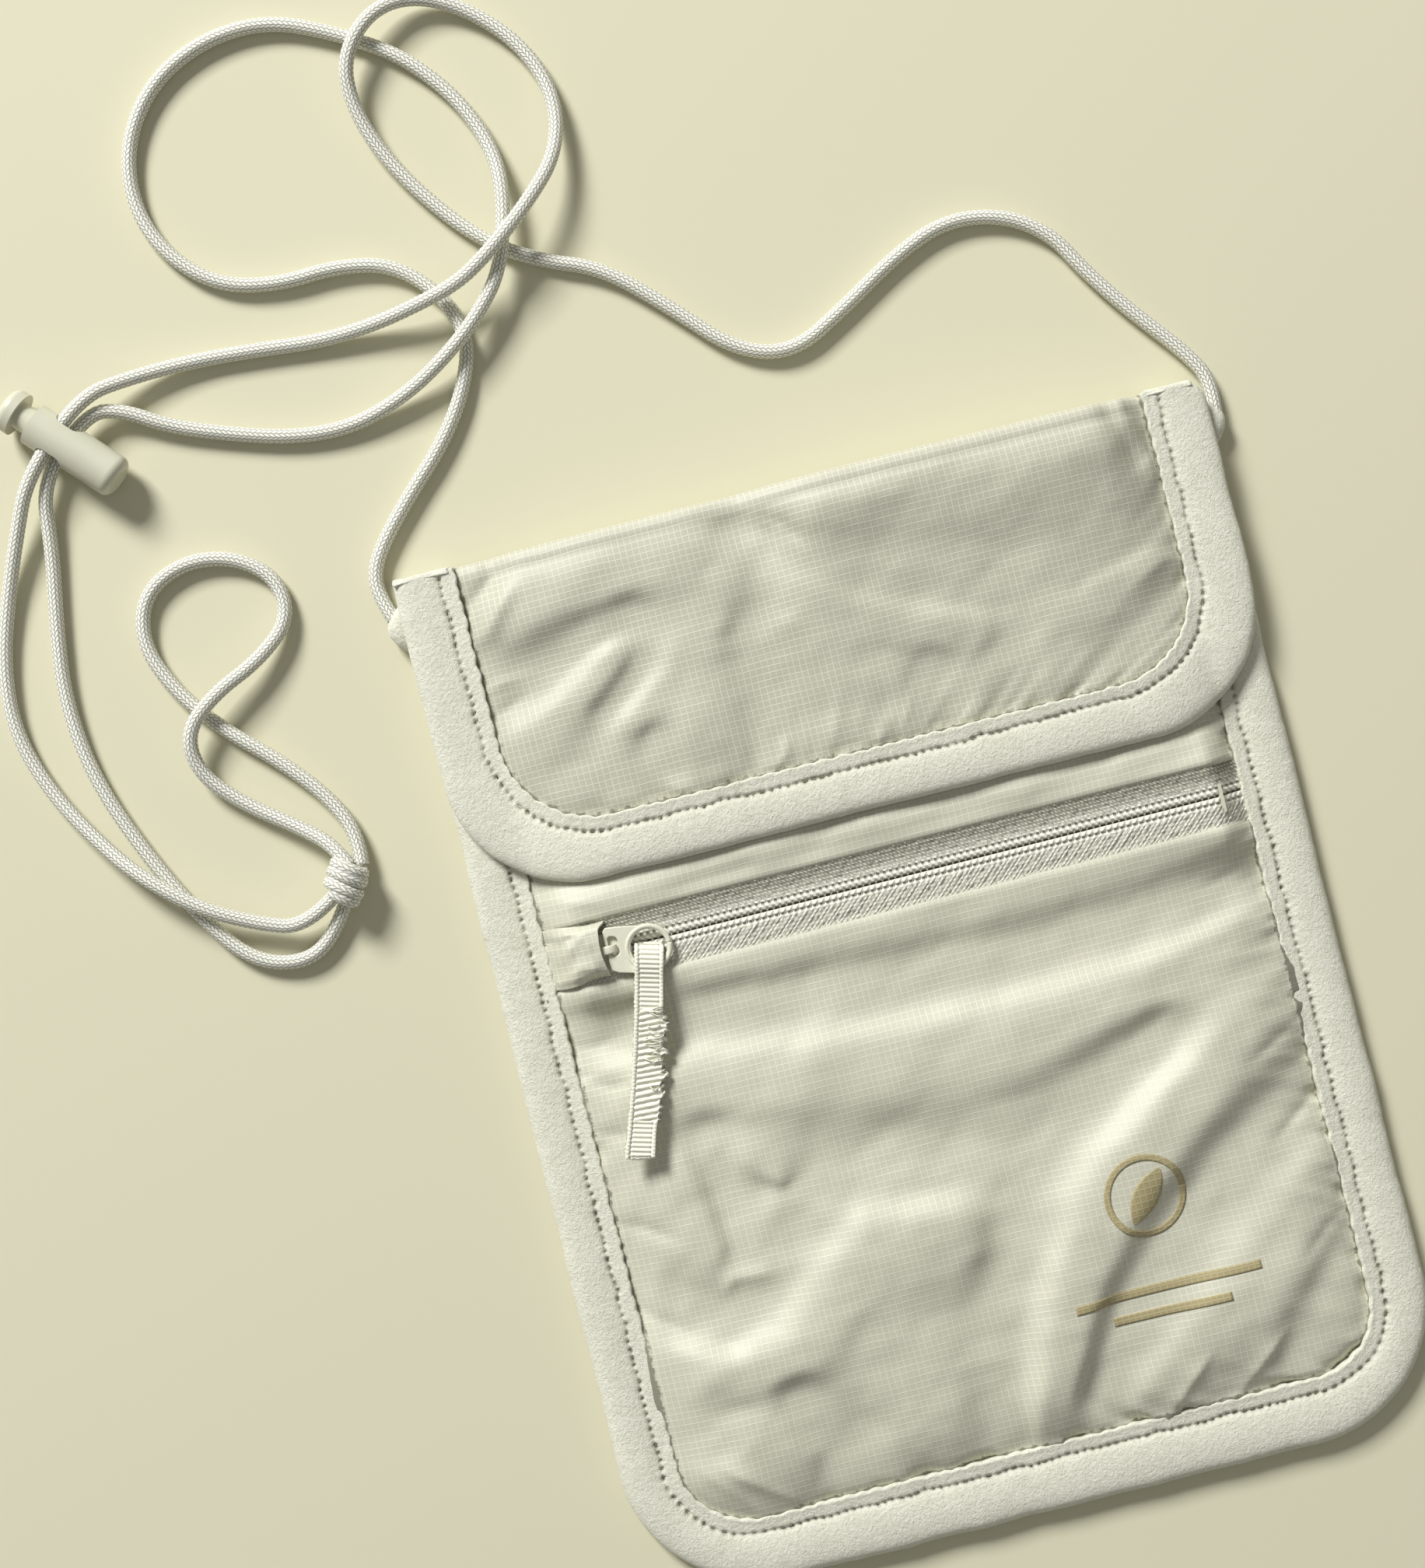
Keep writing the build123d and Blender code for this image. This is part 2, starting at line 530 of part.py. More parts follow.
with BuildPart() as lock_spring:
    spring_l = BORE_END - STEM_END - 2 * SPRING_WIRE_R - 0.1
    spring_base = lock_section(STEM_END + SPRING_WIRE_R + 0.05)
    with BuildLine() as coil_path:
        Helix(
            pitch=spring_l / SPRING_TURNS, height=spring_l, radius=SPRING_R,
            center=spring_base.origin, direction=spring_base.z_dir,
        )
    with BuildSketch(Plane(origin=coil_path.line @ 0, z_dir=coil_path.line % 0)):
        Circle(SPRING_WIRE_R)
    sweep(path=coil_path.line, is_frenet=True)
save(lock_spring, "lock_spring")
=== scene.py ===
"""Looks of the neck pouch wallet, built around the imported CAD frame.

Shapes are worked out in millimetres in the part's own frame and turned into metres
when a mesh is made. +X runs across the pouch, +Y towards the flap's fold, +Z up.
"""

import math

import bpy
import numpy as np
from mathutils import Matrix, Vector


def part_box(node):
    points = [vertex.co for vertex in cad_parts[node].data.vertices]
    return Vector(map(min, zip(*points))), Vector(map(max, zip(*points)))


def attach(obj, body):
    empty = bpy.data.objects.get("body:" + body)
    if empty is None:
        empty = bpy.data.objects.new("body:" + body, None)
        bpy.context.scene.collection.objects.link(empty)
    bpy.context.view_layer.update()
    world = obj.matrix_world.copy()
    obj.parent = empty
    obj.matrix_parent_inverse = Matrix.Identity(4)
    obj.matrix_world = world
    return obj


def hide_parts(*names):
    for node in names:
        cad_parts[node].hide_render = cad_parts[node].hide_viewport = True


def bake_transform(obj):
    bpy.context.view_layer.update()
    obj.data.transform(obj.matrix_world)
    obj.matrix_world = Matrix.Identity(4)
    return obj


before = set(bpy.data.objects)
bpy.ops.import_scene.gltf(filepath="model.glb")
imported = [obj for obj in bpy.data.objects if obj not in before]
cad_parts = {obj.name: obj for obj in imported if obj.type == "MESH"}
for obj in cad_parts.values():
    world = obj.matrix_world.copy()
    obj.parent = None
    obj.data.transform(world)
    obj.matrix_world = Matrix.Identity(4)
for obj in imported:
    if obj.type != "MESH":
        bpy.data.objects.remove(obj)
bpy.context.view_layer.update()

MM = 0.001

# ---------------------------------------------------------------- sizes, from the frame
HALF_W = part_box("body_binding")[1][0] / MM
LOW_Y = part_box("body_binding")[0][1] / MM
BODY_END_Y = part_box("body_binding")[1][1] / MM
FLAP_LOW_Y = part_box("flap_binding")[0][1] / MM
FOLD_OUT_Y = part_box("flap_fold")[1][1] / MM
PLATEAU_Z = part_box("front_lower_panel")[1][2] / MM
HEM_X = 60.1
HEM_Y = -78.7
HEM_R = 12.0
OUTER_R = 24.0
ZIP_Y = 20.5
ZIP_LOW_Y = 15.5
ZIP_HIGH_Y = 25.8
COIL_Y = 20.0
FLAP_HEM_X = 59.3
FLAP_HEM_Y = 42.4
FLAP_HEM_R = 16.0
FLAP_OUTER_R = 22.0
FLAP_TOP_Y = 86.0
BODY_HEM = (HEM_X, HEM_Y, HEM_R)
BODY_OUTER = (HALF_W, LOW_Y, OUTER_R)
FLAP_HEM = (FLAP_HEM_X, FLAP_HEM_Y, FLAP_HEM_R)
FLAP_OUTER = (HALF_W, FLAP_LOW_Y, FLAP_OUTER_R)
BACK_CUT = (64.0, -83.0, 15)
CORD_D = 2.5
CORD_SIDES = 24
BEAD = 0.9


# ---------------------------------------------------------------- number helpers
def smooth(t):
    """0 to 1 with level ends."""
    t = np.clip(t, 0.0, 1.0)
    return t * t * (3 - 2 * t)


def lattice_noise(u, v, seed):
    """Smooth noise between -1 and 1, one bump per unit."""
    table = np.random.default_rng(seed).uniform(-1, 1, (64, 64))
    iu = np.floor(u).astype(int)
    iv = np.floor(v).astype(int)
    fu = smooth(u - iu)
    fv = smooth(v - iv)
    low = table[iu % 64, iv % 64] * (1 - fu) + table[(iu + 1) % 64, iv % 64] * fu
    high = table[iu % 64, (iv + 1) % 64] * (1 - fu) + table[(iu + 1) % 64, (iv + 1) % 64] * fu
    return low * (1 - fv) + high * fv


def inside_distance(x, y, half_w, low_y, radius):
    """Distance in from an outline that is open at the top and has two rounded corners."""
    dx = half_w - np.abs(x)
    dy = y - low_y
    corner = radius - np.hypot(radius - dx, radius - dy)
    in_corner = (dx < radius) & (dy < radius)
    return np.where(in_corner, corner, np.minimum(dx, dy))


def along_line(x, y, points):
    """Signed distance from a bent line, positive on its left, and the share of it passed."""
    points = np.array(points, float)
    lengths = np.hypot(*(points[1:] - points[:-1]).T)
    total = lengths.sum()
    best = np.full(np.shape(x), 1e9)
    share = np.zeros(np.shape(x))
    passed = 0.0
    for a, b, length in zip(points[:-1], points[1:], lengths):
        direction = (b - a) / length
        t = np.clip((x - a[0]) * direction[0] + (y - a[1]) * direction[1], 0, length)
        px = x - a[0] - t * direction[0]
        py = y - a[1] - t * direction[1]
        distance = np.hypot(px, py) * np.where(direction[0] * py - direction[1] * px >= 0, 1, -1)
        nearer = np.abs(distance) < np.abs(best)
        best = np.where(nearer, distance, best)
        share = np.where(nearer, (passed + t) / total, share)
        passed += length
    return best, share


def fold(x, y, points, height, left, right, ends=(0.25, 0.25), sharp=2.0):
    """One ridge along a bent line: left and right are how far its two sides reach."""
    distance, share = along_line(x, y, points)
    width = np.where(distance > 0, left, right)
    fade = smooth(share / max(ends[0], 1e-6)) * smooth((1 - share) / max(ends[1], 1e-6))
    return height * fade * np.exp(-np.abs(distance / width) ** sharp)


def between_lines(x, y, lines):
    """Heights blended between crest and valley lines: each line is (height, points)."""
    total = np.zeros(np.shape(x))
    weights = np.zeros(np.shape(x))
    for height, points in lines:
        distance, _ = along_line(x, y, points)
        weight = (distance**2 + 2.2) ** -1.6
        total += weight * height
        weights += weight
    return total / weights


# ---------------------------------------------------------------- mesh helpers
def stacked(x, y, z):
    """Points from arrays or numbers of any shapes that fit together."""
    return np.stack(np.broadcast_arrays(x, y, z), -1)


def mesh_object(name, verts, faces, weave, body, slot, material, replaced=()):
    """A smooth mesh piece from points in millimetres. It rides on a body, if one is given;
    weave keeps the flat cloth's own coordinates, also in millimetres."""
    mesh = bpy.data.meshes.new(name)
    mesh.from_pydata((np.asarray(verts, float) * MM).tolist(), [], faces)
    mesh.update()
    mesh.shade_smooth()
    piece = bpy.data.objects.new(name, mesh)
    bpy.context.scene.collection.objects.link(piece)
    attribute = mesh.attributes.new("weave", "FLOAT_VECTOR", "POINT")
    attribute.data.foreach_set("vector", np.asarray(weave, np.float32).ravel())
    if body:
        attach(piece, body)
    if replaced:
        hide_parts(*replaced)
    dress(piece, material)
    return piece


def grid_faces(rows, cols, close_rows=False, close_cols=False, first=0, flip=False):
    """Quads over a grid of points, open or closed in either direction."""
    r = np.arange(rows if close_rows else rows - 1)
    c = np.arange(cols if close_cols else cols - 1)
    rr, cc = np.meshgrid(r, c, indexing="ij")
    r1 = (rr + 1) % rows
    c1 = (cc + 1) % cols
    quads = np.stack([rr * cols + cc, rr * cols + c1, r1 * cols + c1, r1 * cols + cc], -1).reshape(-1, 4)
    return (quads[:, ::-1] if flip else quads) + first


def surface_normals(points):
    """Unit normals of a grid of points."""
    du = np.gradient(points, axis=1)
    dv = np.gradient(points, axis=0)
    normal = np.cross(du, dv)
    return normal / np.maximum(np.linalg.norm(normal, axis=-1, keepdims=True), 1e-9)


def cloth(name, points, thickness, body, slot, material, replaced=(), weave=None):
    """A closed thin sheet from a grid of points: points are its outer face."""
    rows, cols, _ = points.shape
    inner = points - surface_normals(points) * thickness
    verts = np.concatenate([points.reshape(-1, 3), inner.reshape(-1, 3)])
    n = rows * cols
    index = np.arange(n).reshape(rows, cols)
    rim = np.concatenate([index[0, :], index[1:, -1], index[-1, -2::-1], index[-2:0:-1, 0]])
    following = np.roll(rim, -1)
    edge = np.stack([rim, rim + n, following + n, following], -1)
    faces = np.concatenate([grid_faces(rows, cols), grid_faces(rows, cols, first=n, flip=True), edge])
    flat = points if weave is None else weave
    weave = np.concatenate([flat.reshape(-1, 3)] * 2)
    return mesh_object(name, verts, faces.tolist(), weave, body, slot, material, replaced)


def joined(parts):
    """Several closed shapes as one. A part is its points, faces and, if it has its own, weave."""
    verts, faces, weaves, count = [], [], [], 0
    for points, part_faces, *own in parts:
        verts.append(points)
        weaves.append(own[0] if own else points)
        faces += [[i + count for i in face] for face in part_faces]
        count += len(points)
    return np.concatenate(verts), faces, np.concatenate(weaves)


def capped(rings, ends, flip=False):
    """Points and faces of a tube from rings of points, with a fan to a centre at both ends."""
    n, k, _ = rings.shape
    verts = np.concatenate([rings.reshape(-1, 3), ends])
    quads = grid_faces(n, k, close_cols=True, flip=flip).tolist()
    fans = []
    for a in range(k):
        b = (a + 1) % k
        near, far = (a, b) if flip else (b, a)
        fans.append([n * k, near, far])
        fans.append([n * k + 1, (n - 1) * k + far, (n - 1) * k + near])
    return verts, quads + fans


def stepped(profile, count):
    """Even steps along given points, and both coordinates there."""
    profile = np.array(profile, float)
    t = np.linspace(0, len(profile) - 1, count)
    return t, *(np.interp(t, range(len(profile)), column) for column in profile.T)


def run_lengths(line):
    """Distance passed at each point of a line."""
    return np.concatenate([[0], np.cumsum(np.linalg.norm(np.diff(line, axis=0), axis=1))])


def panel_grid(half_w, low_y, high_y, radius, step):
    """Grid of x and y that follows an outline with two rounded bottom corners."""
    rows = np.append(np.arange(low_y, high_y, step), high_y)
    if radius > 0:
        turn = np.linspace(0, math.pi / 2, max(int(radius * 1.6 / step), 6))
        corner = low_y + radius * (1 - np.cos(turn))
        rows = np.concatenate([corner, np.arange(low_y + radius + step, high_y, step), [high_y]])
    drop = np.clip(low_y + radius - rows, 0, radius)
    width = half_w - radius + np.sqrt(np.maximum(radius**2 - drop**2, 0))
    u = np.linspace(-1, 1, int(2 * half_w / step) + 1)
    return width[:, None] * u[None, :], np.repeat(rows[:, None], len(u), 1)


def curve_mesh(name, dimensions, kind, outlines, **settings):
    """Points and faces, in millimetres, of the mesh that Blender makes of a curve."""
    curve = bpy.data.curves.new(name, "CURVE")
    curve.dimensions = dimensions
    for key, value in settings.items():
        setattr(curve, key, value)
    for outline in outlines:
        spline = curve.splines.new(kind)
        spline.points.add(len(outline) - 1)
        for point, place in zip(spline.points, outline):
            point.co = (*(c * MM for c in place), 1)
        if kind == "NURBS":
            spline.order_u = 3
            spline.use_endpoint_u = True
        else:
            spline.use_cyclic_u = True
    carrier = bpy.data.objects.new(name, curve)
    bpy.context.scene.collection.objects.link(carrier)
    bpy.context.view_layer.update()
    mesh = bpy.data.meshes.new_from_object(carrier)
    verts = np.array([v.co for v in mesh.vertices]) / MM
    faces = [list(p.vertices) for p in mesh.polygons]
    bpy.data.objects.remove(carrier)
    bpy.data.meshes.remove(mesh)
    return verts, faces


# ---------------------------------------------------------------- material helpers
class Wave:
    """A value that varies over a surface: arithmetic on it adds math nodes."""

    def __init__(self, shader, socket):
        self.shader = shader
        self.socket = socket

    def __add__(self, other):
        return self.shader.math("ADD", self, other)

    def __sub__(self, other):
        return self.shader.math("SUBTRACT", self, other)

    def __rsub__(self, other):
        return self.shader.math("SUBTRACT", other, self)

    def __mul__(self, other):
        return self.shader.math("MULTIPLY", self, other)

    def __truediv__(self, other):
        return self.shader.math("DIVIDE", self, other)

    def __pow__(self, power):
        return self.shader.math("POWER", self, power)

    def __abs__(self):
        return self.shader.math("ABSOLUTE", self)


class Shader:
    """One node material on the Principled shader."""

    def __init__(self, name, roughness, specular, **sockets):
        self.material = bpy.data.materials.new(name)
        self.material.use_nodes = True
        self.tree = self.material.node_tree
        self.bsdf = self.tree.nodes["Principled BSDF"]
        sockets.update(Roughness=roughness, Specular_IOR_Level=specular)
        for key, value in sockets.items():
            self.bsdf.inputs[key.replace("_", " ")].default_value = value

    def feed(self, socket, value):
        """Links a value to a socket, or sets the socket to a constant."""
        if isinstance(value, Wave):
            value = value.socket
        if isinstance(value, bpy.types.NodeSocket):
            self.tree.links.new(value, socket)
        elif socket.type == "RGBA":
            socket.default_value = (*value, 1)
        else:
            socket.default_value = value

    def node(self, kind, inputs, **settings):
        made = self.tree.nodes.new(kind)
        for key, value in settings.items():
            setattr(made, key, value)
        for key, value in inputs.items():
            self.feed(made.inputs[key], value)
        return made

    def attribute(self, name, output):
        return self.node("ShaderNodeAttribute", {}, attribute_name=name).outputs[output]

    def cloth_coords(self):
        """Coordinates of the flat cloth, in millimetres."""
        return self.attribute("weave", "Vector")

    def object_coords(self):
        """The piece's own place, in millimetres."""
        coords = self.node("ShaderNodeTexCoord", {}).outputs["Object"]
        return self.scaled(coords, (1000, 1000, 1000))

    def scaled(self, vector, scale):
        return self.node("ShaderNodeMapping", {"Vector": vector, "Scale": scale}).outputs["Vector"]

    def turned(self, vector, angle, scale):
        """Coordinates turned about Z, then scaled."""
        inputs = {"Vector": vector, "Rotation": (0, 0, angle)}
        return self.scaled(self.node("ShaderNodeMapping", inputs).outputs["Vector"], scale)

    def math(self, operation, *values):
        made = self.node("ShaderNodeMath", dict(enumerate(values)), operation=operation)
        return Wave(self, made.outputs["Value"])

    def split(self, vector):
        """The X and Y parts of coordinates."""
        parts = self.node("ShaderNodeSeparateXYZ", {0: vector}).outputs
        return Wave(self, parts["X"]), Wave(self, parts["Y"])

    def noise(self, vector, scale, detail=2.0, rough=0.5):
        inputs = {"Vector": vector, "Scale": scale, "Detail": detail, "Roughness": rough}
        return Wave(self, self.node("ShaderNodeTexNoise", inputs).outputs["Fac"])

    def ramp(self, value, low, high, shape="SMOOTHSTEP"):
        """0 at low, 1 at high, level beyond both."""
        inputs = {"Value": value, "From Min": low, "From Max": high}
        made = self.node("ShaderNodeMapRange", inputs, interpolation_type=shape)
        return Wave(self, made.outputs["Result"])

    def stripes(self, value, pitch, width):
        """1 on thin lines a pitch apart, 0 between them."""
        away = abs(self.math("FRACT", value / pitch) - 0.5)
        return self.ramp(away, 0.5 * width / pitch, 0.15 * width / pitch)

    def hem_shade(self, x, y, hem, gather):
        """Painted shade under the hem's edge, uneven along it: 1 at the hem, 0 further in."""
        half_w, low_y, radius = hem
        short_x = self.math("MAXIMUM", radius - (half_w - abs(x)), 0.0)
        short_y = self.math("MAXIMUM", radius - (y - low_y), 0.0)
        inside = radius - self.math("SQRT", short_x * short_x + short_y * short_y)
        reach = inside - self.ramp(gather, 0.42, 0.72) * 0.6
        return self.ramp(reach, 0.42, -0.1) * 0.8

    def mix(self, factor, low, high):
        inputs = {"Factor": factor, 6: low, 7: high}
        return self.node("ShaderNodeMix", inputs, data_type="RGBA").outputs[2]

    def color(self, value):
        self.feed(self.bsdf.inputs["Base Color"], value)

    def bump(self, height, distance, strength=1.0, under=None):
        inputs = {"Height": height, "Distance": distance * MM, "Strength": strength}
        if under is not None:
            inputs["Normal"] = under
        normal = self.node("ShaderNodeBump", inputs).outputs["Normal"]
        self.feed(self.bsdf.inputs["Normal"], normal)
        return normal


CREAM = (0.72, 0.70, 0.55)
CREAM_DARK = (0.60, 0.58, 0.45)
TAN = (0.42, 0.36, 0.19)
GRID_PITCH = 1.06
ZIP_PITCH = 1.1


def ripstop_material(name, hem=None, depth=1.0):
    """Thin satin nylon with a fine raised grid, streaky threads and painted shade under its hem.

    hem is (half width, low y, corner radius) of the bound edge that the fabric goes under;
    depth below 1 darkens the whole colour, as painted shade."""
    s = Shader(name, 0.5, 0.4)
    coords = s.cloth_coords()
    x, y = s.split(coords)
    broad = s.scaled(coords, (0.12, 0.12, 1))
    drift = s.noise(broad, 1.0, 1.0) * 0.5
    across = s.stripes(x + drift, GRID_PITCH, 0.22)
    along = s.stripes(y + drift, GRID_PITCH, 0.22)
    warp = s.noise(s.scaled(coords, (3.6, 0.07, 1)), 1.0, 3.0, 0.65)
    weft = s.noise(s.scaled(coords, (0.07, 3.6, 1)), 1.0, 3.0, 0.65)
    threads = (warp + weft) * 0.5
    share = s.ramp(s.noise(broad, 1.0, 3.0, 0.6), 0.36, 0.64)
    bright_x = s.ramp(warp, 0.12, 0.52) * (share * 0.3 + 0.6)
    bright_y = s.ramp(weft, 0.12, 0.52) * (share * -0.3 + 0.9)
    grid = s.math("MAXIMUM", across * bright_x, along * bright_y)
    # depth below 1 paints shade over the whole fabric, for the flap's darker copy
    low = tuple(c * depth for c in (0.52, 0.51, 0.392))
    high = tuple(c * depth for c in (0.72, 0.71, 0.572))
    shade = s.mix(grid * 0.5, s.mix(threads, low, high), (0.94, 0.93, 0.80))
    if hem:
        # painted shade: the fabric darkens where it goes under the hem's edge
        painted_shade = s.hem_shade(x, y, hem, s.noise(coords, 0.75, 2.0, 0.6))
        shade = s.mix(painted_shade, shade, (0.17, 0.165, 0.12))
    s.color(shade)
    weave = s.noise(s.scaled(coords, (3.4, 3.4, 1)), 1.0, 4.0, 0.7)
    s.bump(grid * 0.7 + weave * 0.35 + threads * 0.3, 0.06, 0.6)
    return s.material


def brushed_material():
    """Matt knitted tape with a brushed nap that lies in fine slanting streaks, and painted shade in its
    stitch dimples.
    """
    s = Shader("brushed_tape", 0.9, 0.2, Sheen_Weight=0.25, Sheen_Roughness=0.6)
    coords = s.object_coords()
    fuzz = s.noise(coords, 1.7, 4.0, 0.8)
    streak = s.noise(s.turned(coords, 0.75, (3.4, 1.3, 1)), 1.0, 3.0, 0.7)
    patch = s.noise(coords, 0.35, 3.0, 0.55)
    tone = s.ramp(fuzz * 0.45 + streak * 0.35 + patch * 0.2, 0.22, 0.78)
    nap = s.mix(tone, (0.70, 0.69, 0.545), (1.0, 0.995, 0.855))
    # painted shade in the stitch dimples of the groove, carried by the point attribute
    s.color(s.mix(s.attribute("sunk", "Fac"), nap, (0.20, 0.19, 0.13)))
    under = s.bump(streak, 0.12, 0.7)
    s.bump(fuzz, 0.36, 1.0, under)
    return s.material


def lining_material():
    """Plain, finer and flatter woven nylon."""
    s = Shader("lining", 0.6, 0.3)
    coords = s.object_coords()
    x, y = s.split(coords)
    s.color(s.mix(s.noise(coords, 0.25, 3.0, 0.6), CREAM_DARK, CREAM))
    s.bump(s.stripes(x, 0.42, 0.25) * s.stripes(y, 0.42, 0.25), 0.05, 0.6)
    return s.material


def tape_material():
    """Knitted zip tape: loops that lean two ways, painted shade in the holes along the seam and the teeth,
    and a painted shadow on the upper tape's outer part.
    """
    s = Shader("zip_tape", 0.75, 0.3)
    coords = s.cloth_coords()
    x, y = s.split(coords)
    from_teeth = y - ZIP_Y
    away = abs(from_teeth)
    knit = s.stripes(x + away * 1.1, 0.66, 0.46) * s.stripes(y, 0.62, 0.46)
    speckle = s.noise(coords, 2.6, 4.0, 0.85)
    # painted shadow: the upper tape darkens away from the teeth, under the upper panel's edge
    upper = s.ramp(from_teeth, 1.0, 4.6) * 0.48 - 0.10
    coarse = knit * 0.6 + speckle * 0.75 - upper
    # painted shade in the stitch holes and in the gap along the seam
    holes = s.stripes(x + s.math("SIGN", from_teeth) * 0.3, ZIP_PITCH, 0.80)
    row = 1.0 - s.math("MINIMUM", abs(away - 1.25) / 0.33, 1.0)
    dashes = s.stripes(x + 0.35, ZIP_PITCH, 1.2)
    seam = 1.0 - s.math("MINIMUM", away / 0.34, 1.0)
    painted_shade = holes * row + dashes * seam
    chain = s.stripes(x + away * 0.8, ZIP_PITCH, 0.7)
    plain = chain * 0.3 + speckle * 0.6 + 0.42 - painted_shade * 1.3
    outer = s.ramp(away, 1.6, 2.1, "LINEAR")
    tone = coarse * outer + plain * (1.0 - outer)
    s.color(s.mix(tone, (0.27, 0.265, 0.20), (1.0, 0.99, 0.85)))
    s.bump(tone, 0.20, 0.9)
    return s.material


def ribbon_material():
    """Grosgrain: fine yarns under ribs that are in the mesh."""
    s = Shader("grosgrain", 0.75, 0.3, Sheen_Weight=0.2)
    yarn = s.noise(s.scaled(s.cloth_coords(), (1.4, 6.0, 1)), 1.0, 4.0, 0.7)
    s.color(s.mix(yarn, (0.72, 0.71, 0.57), (0.96, 0.95, 0.83)))
    s.bump(yarn, 0.06, 0.8)
    return s.material


def cord_material():
    """Round braid: slanted stitches in rows, alternate rows leaning the other way. The dark between the
    stitches is painted shade; the filaments' streaks are the cord's own tone.
    """
    s = Shader("braided_cord", 0.55, 0.4, Subsurface_Weight=0.35, Subsurface_Scale=0.001,
               Subsurface_Radius=(1.0, 0.97, 0.85))
    coords = s.cloth_coords()
    x, y = s.split(coords)
    across = x / (math.pi * CORD_D / (CORD_SIDES / 2)) + 0.5
    row = s.math("FLOOR", across)
    odd = s.math("FLOORED_MODULO", row, 2.0)
    inside = across - row
    lean = (inside - 0.5) * (odd * 1.6 - 0.8)
    bead = abs(s.math("SINE", (y / BEAD + lean + odd * 0.5) * math.pi))
    ridge = abs(s.math("SINE", inside * math.pi)) ** 0.5
    stitch = s.ramp(bead**0.6 * ridge, 0.15, 0.85)
    filaments = s.noise(s.scaled(coords, (9.0, 5.0, 1)), 1.0, 3.0, 0.7)
    tone = stitch * 0.85 + filaments * 0.25
    # painted shade in the gaps of the braid, under the filaments' own tone
    s.color(s.mix(tone, (0.36, 0.35, 0.27), (1.0, 1.0, 0.90)))
    s.bump(tone, 0.16, 0.8)
    return s.material


def print_material():
    """Thin tan ink on the fabric."""
    s = Shader("tan_print", 0.6, 0.3)
    x, y = s.split(s.cloth_coords())
    grid = s.math("MAXIMUM", s.stripes(x, GRID_PITCH, 0.34), s.stripes(y, GRID_PITCH, 0.34))
    s.color(s.mix(grid * 0.35, TAN, (0.62, 0.56, 0.36)))
    s.bump(grid, 0.05, 0.6)
    return s.material


def mottled(name, roughness, specular, tone, low, high, grain=None, **sockets):
    """A material between two colours. tone is a noise's (scale, detail, roughness);
    grain is such a noise with the depth and strength of its bump."""
    s = Shader(name, roughness, specular, **sockets)
    coords = s.object_coords()
    s.color(s.mix(s.noise(coords, *tone), low, high))
    if grain:
        s.bump(s.noise(coords, *grain[:3]), *grain[3:])
    return s.material


MATERIALS = {
    "ripstop": ripstop_material("ripstop"),
    "front_ripstop": ripstop_material("front_ripstop", BODY_HEM),
    # painted shade: the flap's copy of the same fabric, darkened to 0.88
    "flap_ripstop": ripstop_material("flap_ripstop", FLAP_HEM, 0.88),
    "lining": lining_material(),
    "binding_tape": brushed_material(),
    "zip_tape": tape_material(),
    "ribbon": ribbon_material(),
    "cord": cord_material(),
    "print": print_material(),
    "zip_coil": mottled("nylon_coil", 0.38, 0.5, (0.8, 2.0, 0.5), CREAM_DARK, CREAM),
    "slider_paint": mottled(
        "slider_paint", 0.45, 0.5, (0.9, 4.0, 0.7), (0.70, 0.69, 0.54), (0.82, 0.81, 0.67),
        (3.0, 3.0, 0.5, 0.05, 0.5),
    ),
    "thread": mottled(
        "sewing_thread", 0.6, 0.35, (3.0, 3.0, 0.6), (0.62, 0.60, 0.46), (0.90, 0.89, 0.75)
    ),
    "lock_plastic": mottled(
        "lock_plastic", 0.36, 0.45, (0.18, 3.0, 0.5), (0.60, 0.59, 0.46), (0.68, 0.67, 0.53),
        (1.6, 2.0, 0.5, 0.02, 0.5),
    ),
    "spring_steel": mottled(
        "spring_wire", 0.3, 0.5, (2.0, 2.0, 0.5), (0.42, 0.42, 0.43), (0.62, 0.62, 0.63), Metallic=1.0
    ),
    "closure_tape": mottled(
        "hook_and_loop", 0.95, 0.15, (2.6, 5.0, 0.8), (0.45, 0.44, 0.34), (0.80, 0.79, 0.66),
        (2.6, 5.0, 0.8, 0.3, 1.0), Sheen_Weight=0.3,
    ),
}


def dress(piece, name):
    """Gives a piece one material."""
    piece.data.materials.clear()
    piece.data.materials.append(MATERIALS[name])


# ---------------------------------------------------------------- camera, floor and light
VIEW_CENTRE = (-26.1, 43.1)
VIEW_HEIGHT = 266.0
VIEW_TURN = math.radians(14.2)
LENS = 60.0
SENSOR = 36.0


def make_camera():
    data = bpy.data.cameras.new("camera")
    data.lens = LENS
    data.sensor_width = SENSOR
    data.sensor_fit = "AUTO"
    camera = bpy.data.objects.new("camera", data)
    bpy.context.scene.collection.objects.link(camera)
    distance = VIEW_HEIGHT * MM * LENS / SENSOR
    place = Matrix.Translation((VIEW_CENTRE[0] * MM, VIEW_CENTRE[1] * MM, distance))
    camera.matrix_world = place @ Matrix.Rotation(-VIEW_TURN, 4, "Z")
    bpy.context.scene.camera = camera


def make_stage():
    mesh = bpy.data.meshes.new("floor")
    half = 3.0
    corners = [(-half, -half, 0), (half, -half, 0), (half, half, 0), (-half, half, 0)]
    mesh.from_pydata(corners, [], [(0, 1, 2, 3)])
    floor = bpy.data.objects.new("floor", mesh)
    bpy.context.scene.collection.objects.link(floor)
    floor.location.z = -0.0002
    s = Shader("floor", 0.9, 0.1)
    s.color((0.715, 0.688, 0.508))
    mesh.materials.append(s.material)
    world = bpy.data.worlds.new("world")
    world.use_nodes = True
    background = world.node_tree.nodes["Background"].inputs
    background["Color"].default_value = (1.0, 0.99, 0.97, 1)
    background["Strength"].default_value = 0.22
    bpy.context.scene.world = world
    bpy.context.scene.view_settings.view_transform = "Standard"


